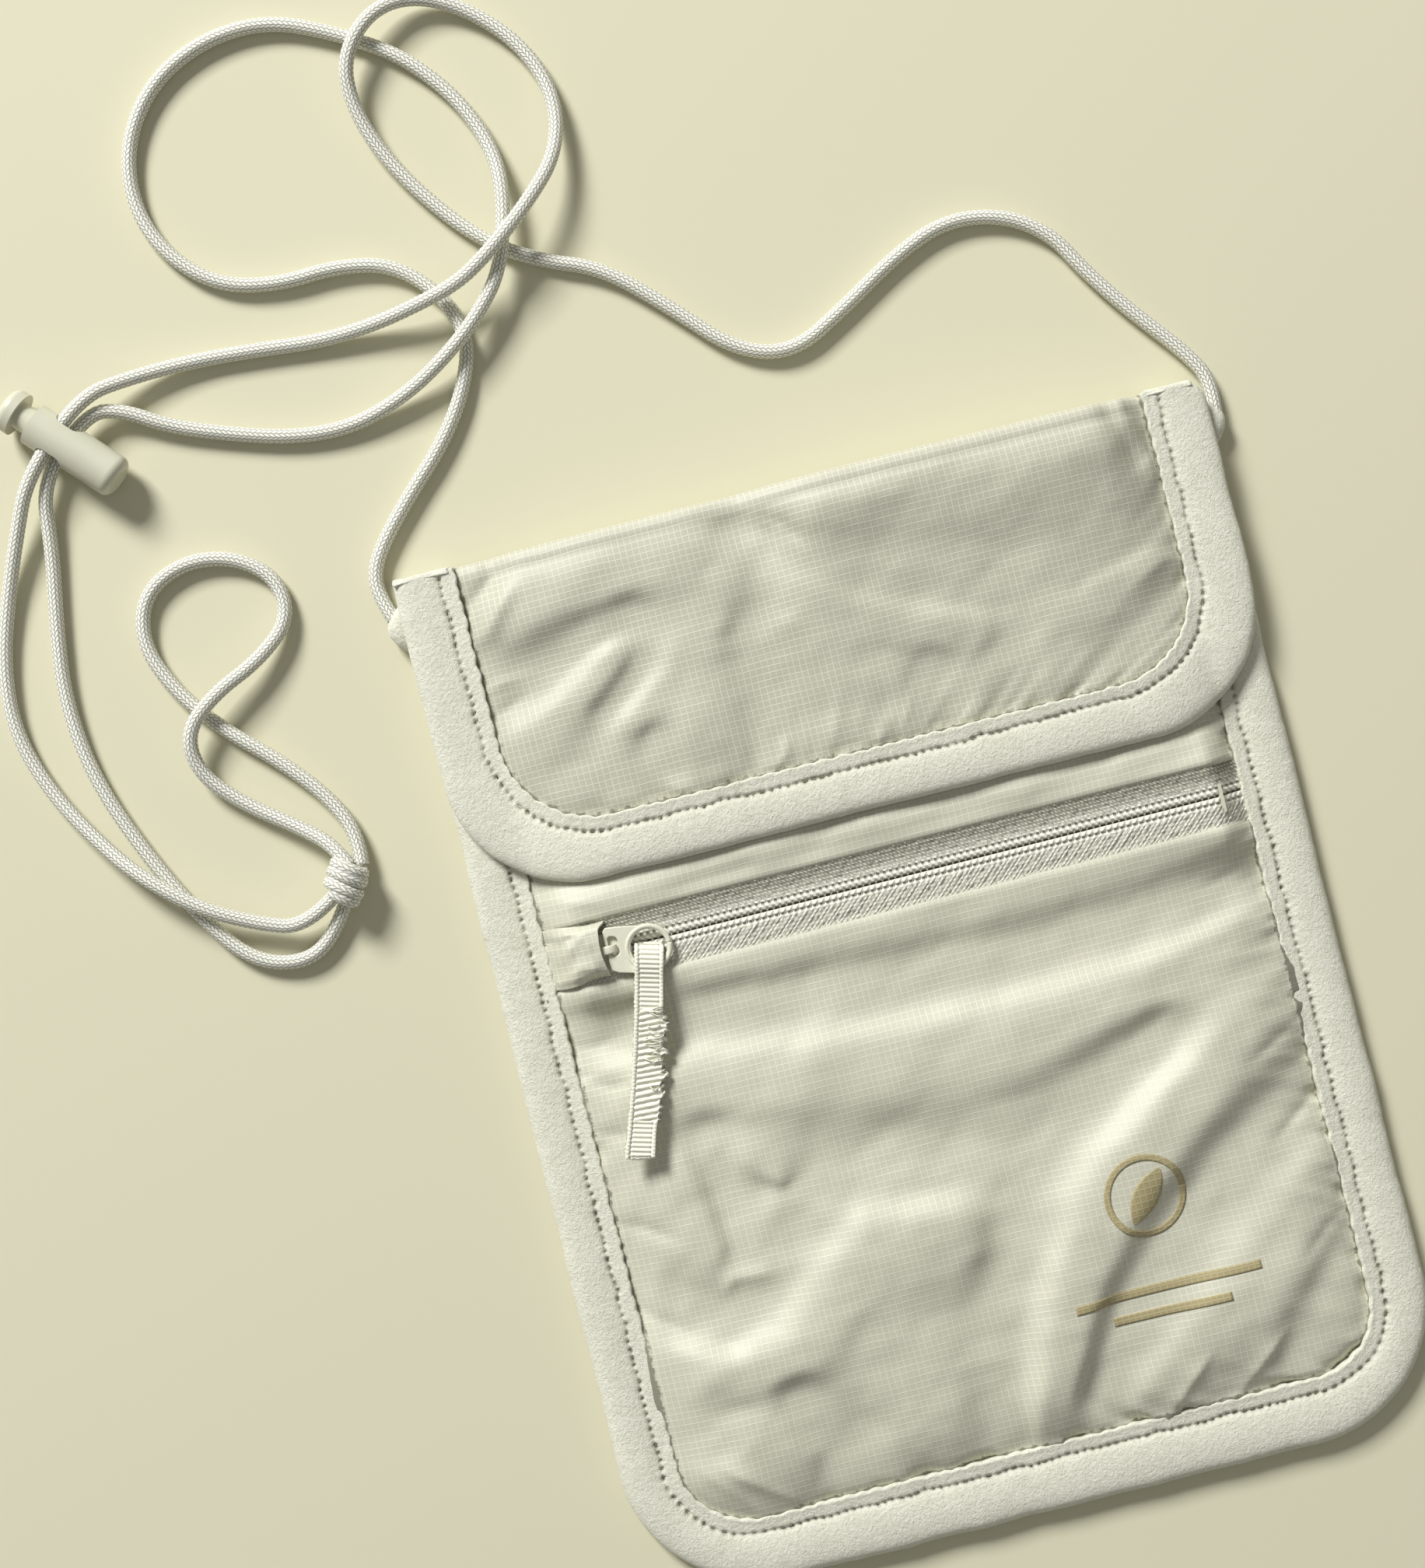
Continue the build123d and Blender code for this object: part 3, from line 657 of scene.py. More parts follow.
def make_light(name, azimuth, elevation, distance, size, power):
    """A square light: azimuth is measured in the picture, counter-clockwise from its right."""
    data = bpy.data.lights.new(name, "AREA")
    data.size = size
    data.energy = power
    light = bpy.data.objects.new(name, data)
    bpy.context.scene.collection.objects.link(light)
    turn = math.radians(azimuth) - VIEW_TURN
    rise = math.radians(elevation)
    target = Vector((VIEW_CENTRE[0] * MM, VIEW_CENTRE[1] * MM, 0))
    away = Vector((math.cos(turn) * math.cos(rise), math.sin(turn) * math.cos(rise), math.sin(rise)))
    light.location = target + away * distance
    light.rotation_euler = away.to_track_quat("Z", "Y").to_euler()


make_camera()
make_stage()
make_light("key", 128, 35, 2.2, 0.64, 62.5)
make_light("fill", -40, 55, 1.5, 1.2, 0.8)


# ---------------------------------------------------------------- neck cord
RIGHT_ROUTE = [
    (71.5, 82.4, 1.9), (72.4, 88.4, 1.4), (69.4, 94.2, 1.3), (62.0, 103.4, 1.3),
    (56.2, 111.8, 1.3), (52.0, 119.6, 1.3), (44.5, 124.6, 1.3), (35.0, 125.8, 1.3),
    (25.5, 122.0, 1.3), (15.0, 115.6, 1.3), (5.0, 110.4, 1.3), (-4.5, 113.4, 1.3),
    (-13.6, 123.4, 1.3), (-23.0, 132.4, 1.3), (-33.0, 136.2, 1.3), (-41.3, 141.8, 1.3),
    (-48.6, 150.6, 1.3), (-54.4, 160.4, 1.6), (-57.0, 169.0, 2.6), (-56.4, 176.6, 4.2),
    (-50.6, 183.0, 4.2), (-43.0, 184.6, 2.6), (-34.4, 180.6, 1.4), (-26.8, 172.4, 1.4),
    (-23.4, 162.4, 2.0), (-25.4, 152.4, 4.2), (-32.5, 144.6, 6.9), (-41.2, 138.0, 6.9),
    (-47.0, 135.0, 5.2), (-54.5, 133.3, 4.3), (-63.0, 132.2, 2.2), (-72.6, 132.0, 1.3),
    (-83.0, 133.2, 1.3), (-94.0, 134.0, 1.3), (-104.4, 133.6, 2.6), (-113.2, 132.14, 4.95),
    (-124.9, 121.29, 4.95), (-129.4, 112.6, 3.0), (-133.8, 102.8, 1.4), (-137.4, 92.0, 1.3),
    (-138.4, 80.5, 1.3), (-134.9, 69.0, 1.3), (-128.8, 58.6, 2.2), (-122.9, 51.2, 4.2),
    (-114.4, 43.6, 4.2), (-106.0, 39.0, 3.0), (-98.4, 36.4, 3.2), (-92.4, 40.4, 3.9),
]
LEFT_ROUTE = [
    (-71.4, 83.2, 1.9), (-73.0, 87.6, 1.4), (-72.7, 92.2, 1.3), (-69.6, 96.9, 1.3),
    (-63.4, 103.4, 1.3), (-56.2, 110.2, 1.3), (-50.6, 118.0, 1.3), (-47.6, 126.6, 1.3),
    (-50.2, 134.6, 1.3), (-57.0, 141.6, 1.3), (-66.4, 143.6, 1.3), (-76.4, 143.0, 1.3),
    (-86.2, 145.2, 1.3), (-93.8, 152.4, 1.3), (-97.2, 162.0, 1.3), (-95.6, 172.4, 1.3),
    (-89.2, 181.2, 1.3), (-79.2, 186.2, 1.3), (-67.6, 186.8, 1.3), (-56.6, 181.8, 1.3),
    (-46.8, 175.4, 1.3), (-39.6, 166.4, 1.3), (-35.8, 156.6, 1.8), (-35.8, 147.4, 4.1),
    (-39.4, 135.8, 4.1), (-44.6, 129.6, 4.1), (-51.8, 123.8, 4.1), (-60.2, 119.4, 2.2),
    (-70.0, 116.6, 1.3), (-80.0, 117.2, 1.3), (-91.0, 120.6, 1.3), (-100.6, 124.4, 1.5),
    (-107.0, 128.6, 2.2), (-113.0, 129.72, 2.85), (-123.3, 120.17, 2.85), (-124.6, 109.0, 1.4),
    (-127.0, 96.6, 1.3), (-128.8, 84.0, 1.3), (-127.4, 70.0, 1.3), (-121.9, 55.0, 1.3),
    (-115.2, 42.0, 1.3), (-109.0, 33.4, 1.3), (-101.0, 30.6, 1.3), (-94.6, 33.4, 1.5),
    (-90.8, 39.4, 1.9),
]
TAIL_ROUTE = [
    (-86.8, 44.4, 2.2), (-86.2, 49.4, 1.8), (-89.6, 57.0, 1.3), (-96.2, 65.0, 1.3),
    (-103.9, 72.2, 1.3), (-110.2, 80.4, 1.3), (-113.8, 89.4, 1.3), (-111.6, 97.6, 1.3),
    (-104.2, 101.4, 1.3), (-95.6, 100.4, 1.3), (-89.0, 95.2, 1.3), (-88.6, 87.6, 1.6),
    (-95.2, 82.0, 3.0), (-103.4, 78.4, 4.2), (-109.8, 73.2, 4.2), (-109.6, 65.8, 2.6),
    (-103.4, 59.0, 1.6), (-95.6, 53.2, 2.2), (-90.2, 48.6, 4.0), (-88.6, 44.6, 4.9),
]


def spline_points(name, route, spacing):
    """Points an even distance apart along the route's smooth NURBS line, and its length."""
    line, _ = curve_mesh(name, "3D", "NURBS", [route], resolution_u=16)
    passed = run_lengths(line)
    places = np.linspace(0, passed[-1], int(passed[-1] / spacing) + 1)
    return np.stack([np.interp(places, passed, line[:, k]) for k in range(3)], -1), passed[-1]


def path_frames(line):
    """Two steady side directions along a path."""
    tangent = np.gradient(line, axis=0)
    tangent /= np.linalg.norm(tangent, axis=1, keepdims=True)
    side = np.cross(tangent[0], (0, 0, 1.0))
    if np.linalg.norm(side) < 1e-6:
        side = np.array((1.0, 0, 0))
    sides = np.zeros_like(line)
    for i, direction in enumerate(tangent):
        side = side - direction * side.dot(direction)
        side /= np.linalg.norm(side)
        sides[i] = side
    return sides, np.cross(tangent, sides)


def tube_mesh(line, radius, sides, surface=None):
    """Points, faces and weave of a capped tube; surface gives its radius at each angle and place."""
    side, up = path_frames(line)
    angle = np.linspace(0, 2 * math.pi, sides, endpoint=False)[None, :]
    places = run_lengths(line)[:, None]
    r = np.full((len(line), sides), radius) if surface is None else surface(angle, places)
    # The first column of points lies underneath, where its seam is out of sight.
    ring = up[:, None, :] * np.cos(angle)[..., None] - side[:, None, :] * np.sin(angle)[..., None]
    verts, faces = capped(line[:, None, :] + ring * r[:, :, None], line[[0, -1]], flip=True)
    weave = stacked(angle * radius, places, 0.0).reshape(-1, 3)
    return verts, faces, np.concatenate([weave, weave[:1], weave[-1:]])


def plaited(radius):
    """Radius of a round braid: each carrier stands proud on every other ring."""
    def surface(angle, place):
        column = np.round(angle * CORD_SIDES / (2 * math.pi)).astype(int)
        offset = 0.5 * ((column // 2) % 2)
        bead = np.abs(np.sin(math.pi * (place / BEAD + offset))) ** 0.5
        return radius * np.where(column % 2 == 0, 0.94 + 0.06 * bead, 0.925)
    return surface


def make_cord(name, route, node):
    line, length = spline_points(name, route, BEAD / 4)
    tube = tube_mesh(line, CORD_D / 2, CORD_SIDES, plaited(CORD_D / 2))
    piece = mesh_object(name, *tube, "pouch", "cord", "cord", (node,))


KNOT_CENTRE = np.array((-89.8, 42.5, 3.9))
KNOT_TURN = math.radians(58.0)


def flat_axes(turn):
    """A direction in the floor's plane and the one to its left."""
    return np.array((math.cos(turn), math.sin(turn), 0)), np.array((-math.sin(turn), math.cos(turn), 0))


def make_knot():
    """Doubled overhand knot: two bands of paired cord wrapped round the strands."""
    axis, cross = flat_axes(KNOT_TURN)
    up = np.array((0, 0, 1.0))
    strand_r = 1.16
    turns = 3.7
    t = np.linspace(0, 1, 260)
    angle = 2 * math.pi * turns * t + 0.9
    gap = 0.75 * smooth((t - 0.46) / 0.08)
    along = (t - 0.5) * 5.0 + gap - 0.35 + 0.55 * np.cos(angle)
    wide = 2.55 - 0.5 * np.abs(2 * t - 1) ** 3
    wrap = KNOT_CENTRE + along[:, None] * axis + (wide * np.cos(angle))[:, None] * cross
    wrap = wrap + (wide * np.sin(angle) * 0.98)[:, None] * up
    strand = np.linspace(-3.4, 3.6, 40)[:, None] * axis + KNOT_CENTRE
    apart = 0.75 * cross + 0.5 * up
    parts = [
        tube_mesh(line, strand_r, CORD_SIDES, plaited(strand_r))
        for line in (wrap, strand + apart, strand - apart)
    ]
    return mesh_object("knot_wraps", *joined(parts), "pouch", "cord", "cord", ("cord_knot",))


knot = make_knot()
for name in ("lock_barrel", "lock_plunger"):
    dress(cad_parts[name], "lock_plastic")


def make_spring():
    """The lock's coil spring: its far end sits in the barrel, its near end at the plunger."""
    axis, cross = flat_axes(math.radians(-47.1))
    start = np.array((-121.9, 129.7, 3.95))
    coil_r = 1.7
    turns = 6
    t = np.linspace(0, 1, 300)
    angle = 2 * math.pi * turns * t
    line = start + (9.27 + 6.3 * t)[:, None] * axis + coil_r * np.cos(angle)[:, None] * cross
    line[:, 2] += coil_r * np.sin(angle)
    tube = tube_mesh(line, 0.22, 8)
    coil = mesh_object("spring_coil", *tube, None, "spring_steel", "spring_steel", ("lock_spring",))
    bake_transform(coil)
    return coil


spring = make_spring()
make_cord("neck_cord_right", RIGHT_ROUTE, "cord_right")
make_cord("neck_cord_left", LEFT_ROUTE, "cord_left")
make_cord("tail_cord", TAIL_ROUTE, "cord_tail")


# ---------------------------------------------------------------- height of the front fabric
def hem_puckers(x, y, distance, seed, depth):
    """Small gathers where the fabric goes under the bound edge."""
    along = np.arctan2(y, x) * 45.0 + 0.35 * y
    wave = lattice_noise(along / 2.6, distance / 9.0 + 7, seed)
    wave = wave + 0.5 * lattice_noise(along / 1.3, distance / 6.0 + 3, seed + 1)
    gather = np.clip(lattice_noise(along / 2.1, 0 * along, seed + 2) * 1.6 - 0.2, 0, 1)
    pocket = -depth * gather * np.exp(-((np.maximum(distance, 0) / 1.3) ** 2))
    fade = np.exp(-np.maximum(distance, 0) / 4.5) * (0.25 + 0.75 * smooth(distance / 1.6))
    return pocket + 0.55 * wave * fade


def fine_wrinkles(x, y, seed):
    """Shallow soft wrinkles all over, at a few sizes and slants."""
    wave = 0.34 * lattice_noise((x + 0.5 * y) / 13.0, (y - 0.4 * x) / 8.0, seed)
    wave = wave + 0.16 * lattice_noise((x - 0.6 * y) / 6.0, (y + 0.2 * x) / 4.5, seed + 1)
    return wave + 0.05 * lattice_noise(x / 2.4, y / 2.0, seed + 2)


LOWER_LINES = [
    (0.2, [(-64, 15), (0, 15), (64, 15)]),
    (-1.7, [(-60, 9), (-38, 6.5), (-20, 4.5), (10, 2.5), (40, 3), (62, 7)]),
    (1.3, [(-62, -3), (-30, -7), (0, -9.5), (30, -9), (50, -5), (64, -1)]),
    (-1.5, [(-34, -25), (-14, -26), (4, -31), (20, -24), (36, -16)]),
    (2.3, [(64, -12), (48, -21), (36, -28.5), (22, -41), (13, -52), (7, -66), (2, -77)]),
    (-1.4, [(5, -44), (-1, -56), (-4, -70), (-3, -78)]),
    (-1.3, [(64, -31), (48, -37), (34, -47), (20, -60), (12, -72)]),
    (1.1, [(64, -43), (50, -55), (36, -67), (22, -77)]),
    (1.7, [(-58, -51), (-46, -54.5), (-35, -53), (-27, -45), (-18, -38.5), (-6, -39.5)]),
    (-1.2, [(-54, -41), (-46, -45), (-39, -41), (-31, -32)]),
    (0.9, [(-52, -12), (-47.5, -22), (-46, -32)]),
    (-1.2, [(-41, -15), (-40.5, -25), (-40, -33)]),
    (0.5, [(-34, -19), (-31.5, -24)]),
    (0.5, [(-47, -62), (-41, -72)]),
    (-1.0, [(-37, -60), (-32, -69), (-35, -78)]),
    (0.5, [(-22, -54), (-16, -68), (-16, -76)]),
    (-0.9, [(50, -70), (60, -60)]),
]
LOWER_CREASES = [
    # points, height, reach on the left, reach on the right, fade at the ends, sharpness
    ([(-54, -67), (-47, -73), (-38, -80)], 0.8, 1.5, 1.3, (0.3, 0.05), 1.4),
    ([(-58, -66), (-52, -73), (-46, -80)], 0.5, 1.3, 1.2, (0.3, 0.05), 1.4),
    ([(20, -82), (26, -75), (33, -68)], 0.9, 1.5, 1.0, (0.02, 0.4), 1.3),
    ([(31, -82), (38, -75), (47, -67)], 1.0, 1.6, 1.0, (0.02, 0.4), 1.3),
    ([(64, -28), (57, -34), (49, -39)], -0.9, 1.1, 1.4, (0.02, 0.5), 1.3),
    ([(64, -17), (56, -21), (47, -25)], -0.7, 1.3, 1.4, (0.02, 0.5), 1.4),
    ([(64, 7), (56, 7.5), (46, 5)], -0.6, 1.6, 1.2, (0.02, 0.5), 1.4),
    ([(64, -50), (56, -54), (48, -60)], -0.6, 1.6, 1.2, (0.02, 0.5), 1.4),
    ([(-64, 6.5), (-56, 5), (-50, 6)], -0.8, 1.4, 1.4, (0.02, 0.5), 1.4),
    ([(-64, 2), (-55, -2), (-48, -2)], -0.8, 1.4, 1.4, (0.02, 0.5), 1.4),
    ([(-64, -8), (-56, -10), (-50, -12)], -0.7, 1.4, 1.4, (0.02, 0.5), 1.4),
    ([(-64, -24), (-56, -26), (-48, -31)], -0.7, 1.4, 1.4, (0.02, 0.5), 1.4),
    ([(-64, -36), (-57, -42), (-51, -46)], -0.8, 1.4, 1.2, (0.02, 0.4), 1.4),
    ([(-34, -38.5), (-43, -38), (-46, -41)], 0.7, 1.6, 1.6, (0.4, 0.3), 1.6),
]
UPPER_CREASES = [
    ([(-64, 29), (-20, 30.5), (20, 29.5), (64, 31)], 0.5, 2.2, 2.6, (0.02, 0.02), 2.0),
    ([(-40, 27), (-20, 28.5)], -0.4, 1.6, 1.6, (0.3, 0.3), 2.0),
    ([(-64, 32), (-54, 30), (-46, 27)], 0.5, 1.4, 1.4, (0.02, 0.4), 1.5),
]
FLAP_LINES = [
    (-0.3, [(-62, 91), (0, 91), (62, 91)]),
    (1.3, [(-50, 79.5), (-36, 80), (-20, 80)]),
    (0.4, [(-7, 84), (10, 82.5), (30, 82.5), (57, 80)]),
    (-1.0, [(-11, 85), (-7, 81)]),
    (-0.9, [(-60, 64), (-50, 66.5), (-41, 71), (-33, 73)]),
    (0.75, [(-60, 54), (-49, 59), (-41, 64), (-37, 67)]),
    (0.9, [(-36, 56), (-27, 62), (-20, 70), (-17, 77)]),
    (-0.7, [(-40, 59), (-33, 65)]),
    (-0.5, [(-14, 66), (-12, 57), (-11, 47)]),
    (-0.3, [(1, 76), (12, 69), (24, 63), (40, 62), (60, 65)]),
    (0.9, [(-4, 67), (8, 60.5), (22, 57)]),
    (0.5, [(6, 56), (3, 45)]),
    (-0.4, [(14, 53), (14, 45)]),
    (0.9, [(-26, 60), (-26, 45)]),
    (-0.5, [(-34, 53), (-33, 45)]),
    (0.5, [(38, 56), (35, 45)]),
    (0.4, [(44, 58), (54, 62)]),
    (-0.4, [(26, 52), (27, 45)]),
    (-0.3, [(48, 50), (56, 56)]),
]
FLAP_CREASES = [
    ([(-62, 80), (-55, 84), (-49, 91)], -1.5, 1.7, 2.2, (0.05, 0.3), 1.8),
    ([(-62, 74.5), (-56, 77), (-49, 85)], 0.9, 1.8, 1.8, (0.05, 0.4), 1.8),
    ([(-62, 86), (-58, 88), (-55, 91)], 0.6, 1.2, 1.2, (0.05, 0.1), 1.8),
    ([(-9, 85), (-4, 82), (-1, 76)], -0.6, 1.6, 0.8, (0.2, 0.4), 1.5),
    ([(53, 91), (57, 82), (60, 72)], 0.9, 0.9, 1.6, (0.05, 0.3), 1.4),
    ([(50, 91), (54, 83), (57, 72)], -0.6, 1.6, 1.4, (0.05, 0.4), 1.6),
    ([(-64, 62), (-57, 63.5), (-50, 66)], -0.6, 1.2, 1.2, (0.02, 0.5), 1.4),
    ([(-64, 66), (-56, 68), (-50, 68)], 0.5, 1.0, 1.0, (0.02, 0.5), 1.4),
    ([(64, 60), (56, 61), (46, 56)], 0.5, 1.2, 1.6, (0.02, 0.5), 1.4),
    ([(-16, 42), (-13, 45), (-12, 49)], 0.5, 0.9, 0.9, (0.02, 0.5), 1.5),
]


def lower_folds(x, y):
    return 0.8 * between_lines(x, y, LOWER_LINES) + sum(fold(x, y, *f) for f in LOWER_CREASES)


def flap_folds(x, y):
    return 0.85 * between_lines(x, y, FLAP_LINES) + sum(fold(x, y, *f) for f in FLAP_CREASES)


FLAP_SLOPE = ([(-12, 84.5), (8, 82.5), (30, 82), (66, 80)], 3.0, 11.0, 15.0, (0.2, 0.0), 1.5)


def body_base(distance):
    """Height of the filled body, in from the edge of its hem."""
    tucked = 0.6 * smooth(-distance / 1.5)
    return 3.15 - tucked + 4.5 * (1 - np.exp(-np.maximum(distance, 0) / 10.0))


def front_height(x, y):
    """Outer face of the front fabric: up from the hem to a soft, wrinkled middle."""
    distance = inside_distance(x, y, *BODY_HEM)
    from_zip = np.maximum(ZIP_LOW_Y - y, y - ZIP_HIGH_Y)
    in_band = from_zip < 0
    near = np.exp(-((np.maximum(from_zip, 0) / 6.0) ** 2))
    base = body_base(distance) * (1 - near) + band_height(x, y) * near
    lip = 0.55 * np.sqrt(np.clip(from_zip / 0.9, 0, 1)) * np.exp(-np.maximum(from_zip, 0) / 5.0)
    free = 1 - np.exp(-((np.maximum(from_zip, 0) / 2.2) ** 2))
    folds = np.where(y < ZIP_LOW_Y, lower_folds(x, y), sum(fold(x, y, *f) for f in UPPER_CREASES))
    under_flap = 1 - 0.85 * smooth((y - 31) / 5)
    swell = 0.45 + 0.55 * smooth(distance / 9.0)
    lifted = base + lip + free * swell * under_flap * (folds + fine_wrinkles(x, y, 11))
    return lifted + hem_puckers(x, y, distance, 23, 1.1) * np.where(in_band, 0.2, 1.0)


def band_height(x, y):
    """The zip's band is stiffer than the fabric, and stays level almost to the hem."""
    return 3.1 + (PLATEAU_Z - 3.1) * smooth((HEM_X + 0.6 - np.abs(x)) / 6.5)


def flap_base(x):
    """Height of the flap's shell across the pouch, with no folds."""
    return 6.35 + 3.75 * (1 - np.exp(-np.maximum(FLAP_HEM_X - np.abs(x), 0) / 10.0))


def flap_height(x, y):
    """Outer face of the flap's shell."""
    distance = inside_distance(x, y, *FLAP_HEM)
    free = 0.35 + 0.65 * smooth((distance + 1) / 6.0)
    near_fold = 0.2 + 0.8 * smooth((FOLD_OUT_Y - y) / 5.0)
    slope = fold(x, y, *FLAP_SLOPE) * smooth(distance / 10.0) * smooth((93.5 - y) / 9.0)
    z = flap_base(x) + slope + free * near_fold * (flap_folds(x, y) + fine_wrinkles(x, y, 31))
    z = z - 0.5 * np.exp(-np.maximum(distance, 0) / 2.0) - 0.4 * smooth(-distance / 1.5)
    return z + hem_puckers(x, y, distance, 43, 0.4) * near_fold


# ---------------------------------------------------------------- panels
CLOTH_STEP = 0.6
FABRIC_T = 0.3


def make_panel(name, outline, height, body, looks, node, step=CLOTH_STEP):
    """A flat-cut panel. outline is (half width, low y, high y, corner radius), and looks is its
    (slot, material)."""
    x, y = panel_grid(*outline, step)
    piece = cloth(name, stacked(x, y, height(x, y)), FABRIC_T, body, *looks, (node,), stacked(x, y, 0))


make_panel(
    "front_lower_cloth", (HEM_X + 2, HEM_Y - 2, ZIP_LOW_Y + 0.2, HEM_R + 2), front_height, "pouch",
    ("ripstop", "front_ripstop"), "front_lower_panel",
)
make_panel(
    "front_upper_cloth", (HEM_X + 2, ZIP_HIGH_Y - 0.2, 85.0, 0), front_height, "pouch",
    ("ripstop", "front_ripstop"), "front_upper_panel",
)


def divider_height(x, y):
    distance = inside_distance(x, y, 59.0, -77.8, 11)
    return 1.6 + 2.6 * smooth(distance / 10) + 0.08 * lattice_noise(x / 9, y / 9, 5)


make_panel(
    "divider_cloth", (62.0, -80.5, 84.0, 13), divider_height, "pouch",
    ("lining", "lining"), "divider_panel", step=1.5,
)


def back_height(x, y):
    distance = inside_distance(x, y, *BACK_CUT)
    return 0.62 + 0.5 * smooth(1 - distance / 6) + 0.07 * lattice_noise(x / 11, y / 8, 15)


back_half_w, back_low_y, back_r = BACK_CUT
make_panel(
    "back_cloth", (back_half_w, back_low_y, 88.4, back_r), back_height, "pouch",
    ("ripstop", "ripstop"), "back_panel", step=1.0,
)


def make_flap_shell():
    """The shell from the flap's hem up to the fold, and a little way over it."""
    reach, drop, run = 3.0, 3.0, 4.2
    x, y = panel_grid(FLAP_HEM_X + 2.5, FLAP_HEM_Y - 2.5, FLAP_TOP_Y, FLAP_HEM_R + 2.5, CLOTH_STEP)
    u = x[-1]
    turn = np.linspace(0, math.pi / 2, 12)[1:, None]
    top = flap_height(u, np.full_like(u, FLAP_TOP_Y))
    over = stacked(u, FLAP_TOP_Y + reach * np.sin(turn), top - drop * (1 - np.cos(turn)) ** 1.5)
    points = np.concatenate([stacked(x, y, flap_height(x, y)), over])
    flat_y = np.concatenate([y, FLAP_TOP_Y + run * turn / turn[-1] + 0 * u])
    flat = stacked(points[..., 0], flat_y, 0)
    looks = ("ripstop", "flap_ripstop")
    piece = cloth("flap_shell_cloth", points, FABRIC_T, None, *looks, ("flap_shell",), flat)
    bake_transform(piece)


make_flap_shell()


def lining_height(x, y):
    return np.minimum(flap_base(x) - 1.0, flap_height(x, y) - 1.05)


make_panel(
    "flap_lining_cloth", (FLAP_HEM_X + 1.5, FLAP_HEM_Y - 1.5, 87.5, FLAP_HEM_R + 1.5), lining_height, "flap",
    ("lining", "lining"), "flap_lining", step=0.8,
)

# (y, z) of the fabric and the tape that go round the fold, from the back panel to the flap
FOLD_PROFILE = [
    (85.5, 0.62), (87.6, 0.7), (88.9, 1.2), (89.6, 2.3), (89.75, 3.6), (89.6, 5.0), (89.2, 6.2), (88.8, 7.4),
]
LOW_WRAP = [(88.2, 0.15), (88.9, 0.45), (89.2, 1.3), (89.3, 2.4), (89.3, 3.6)]
HIGH_WRAP = [(89.3, 3.4), (89.3, 4.6), (89.2, 5.6), (88.9, 6.4), (88.2, 6.75)]


def make_fold_cloth():
    """The fabric that rises from the back panel's top edge to the flap."""
    x = np.linspace(-61.5, 61.5, 170)
    t, py, pz = stepped(FOLD_PROFILE, 30)
    base = FOLD_PROFILE[0][1]
    top = flap_height(x, np.full_like(x, FLAP_TOP_Y)) - 1.9
    z = base + (pz[:, None] - base) * (top[None, :] - base) / (pz[-1] - base)
    wave = 0.12 * lattice_noise(x[None, :] / 7, z / 3, 65)
    points = stacked(x[None, :], py[:, None] + wave - 0.6, z)
    flat = stacked(x[None, :], 90 + t[:, None] * 0.35, 0)[:, ::-1]
    looks = ("ripstop", "ripstop")
    piece = cloth("fold_cloth", points[:, ::-1], FABRIC_T, None, *looks, ("flap_fold",), flat)
    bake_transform(piece)


def make_edge_wrap(name, side, profile, bodies, start, end):
    """Half of the tape that carries the bound edge round the fold, at one side."""
    t, py, pz = stepped(profile, 16)
    x = side * np.linspace(60.2, 67.9 if side > 0 else 69.7, 24)
    x = np.sort(x)[::-1]
    crimp = 0.12 * lattice_noise(x[None, :] / 1.6, t[:, None] * 1.5, 141)
    points = stacked(x[None, :], py[:, None] + crimp, pz[:, None])
    piece = cloth(name, points, 0.5, None, "binding_tape", "binding_tape")
    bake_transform(piece)


for side, word in ((1, "right"), (-1, "left")):
    low_ends = (0, 0.0886, 0.0006), (0, 0.0893, 0.0034)
    high_ends = (0, 0.0893, 0.0036), (0, 0.0886, 0.0064)
    make_edge_wrap(f"edge_wrap_low_{word}", side, LOW_WRAP, ("pouch", "flap_fold"), *low_ends)
    make_edge_wrap(f"edge_wrap_high_{word}", side, HIGH_WRAP, ("flap_fold", "flap"), *high_ends)
make_fold_cloth()


# ---------------------------------------------------------------- bound edges
def binding_stations(hem, outer, top_y, step):
    """Matching points on the hem's edge and the outer edge, round a U open at the top.

    hem and outer are (half width, low y, corner radius)."""
    straight = np.arange(0, top_y - (hem[1] + hem[2]), step) / (top_y - (hem[1] + hem[2]))
    turn = np.linspace(0, math.pi / 2, int(outer[2] * 1.5 / step))[:-1]
    across = np.arange(0, 2 * (hem[0] - hem[2]), step) / (2 * (hem[0] - hem[2]))
    sides = []
    for half_w, low_y, radius in (hem, outer):
        left = [(-half_w, top_y + (low_y + radius - top_y) * s) for s in straight]
        corner_l = [(-half_w + radius * (1 - math.cos(t)), low_y + radius * (1 - math.sin(t))) for t in turn]
        flat = [((-half_w + radius) * (1 - 2 * s), low_y) for s in across]
        corner_r = [(half_w - radius * (1 - math.sin(t)), low_y + radius * (1 - math.cos(t))) for t in turn]
        right = [(half_w, low_y + radius + (top_y - low_y - radius) * s) for s in (*straight, 1.0)]
        sides.append(np.array(left + corner_l + flat + corner_r + right))
    return sides


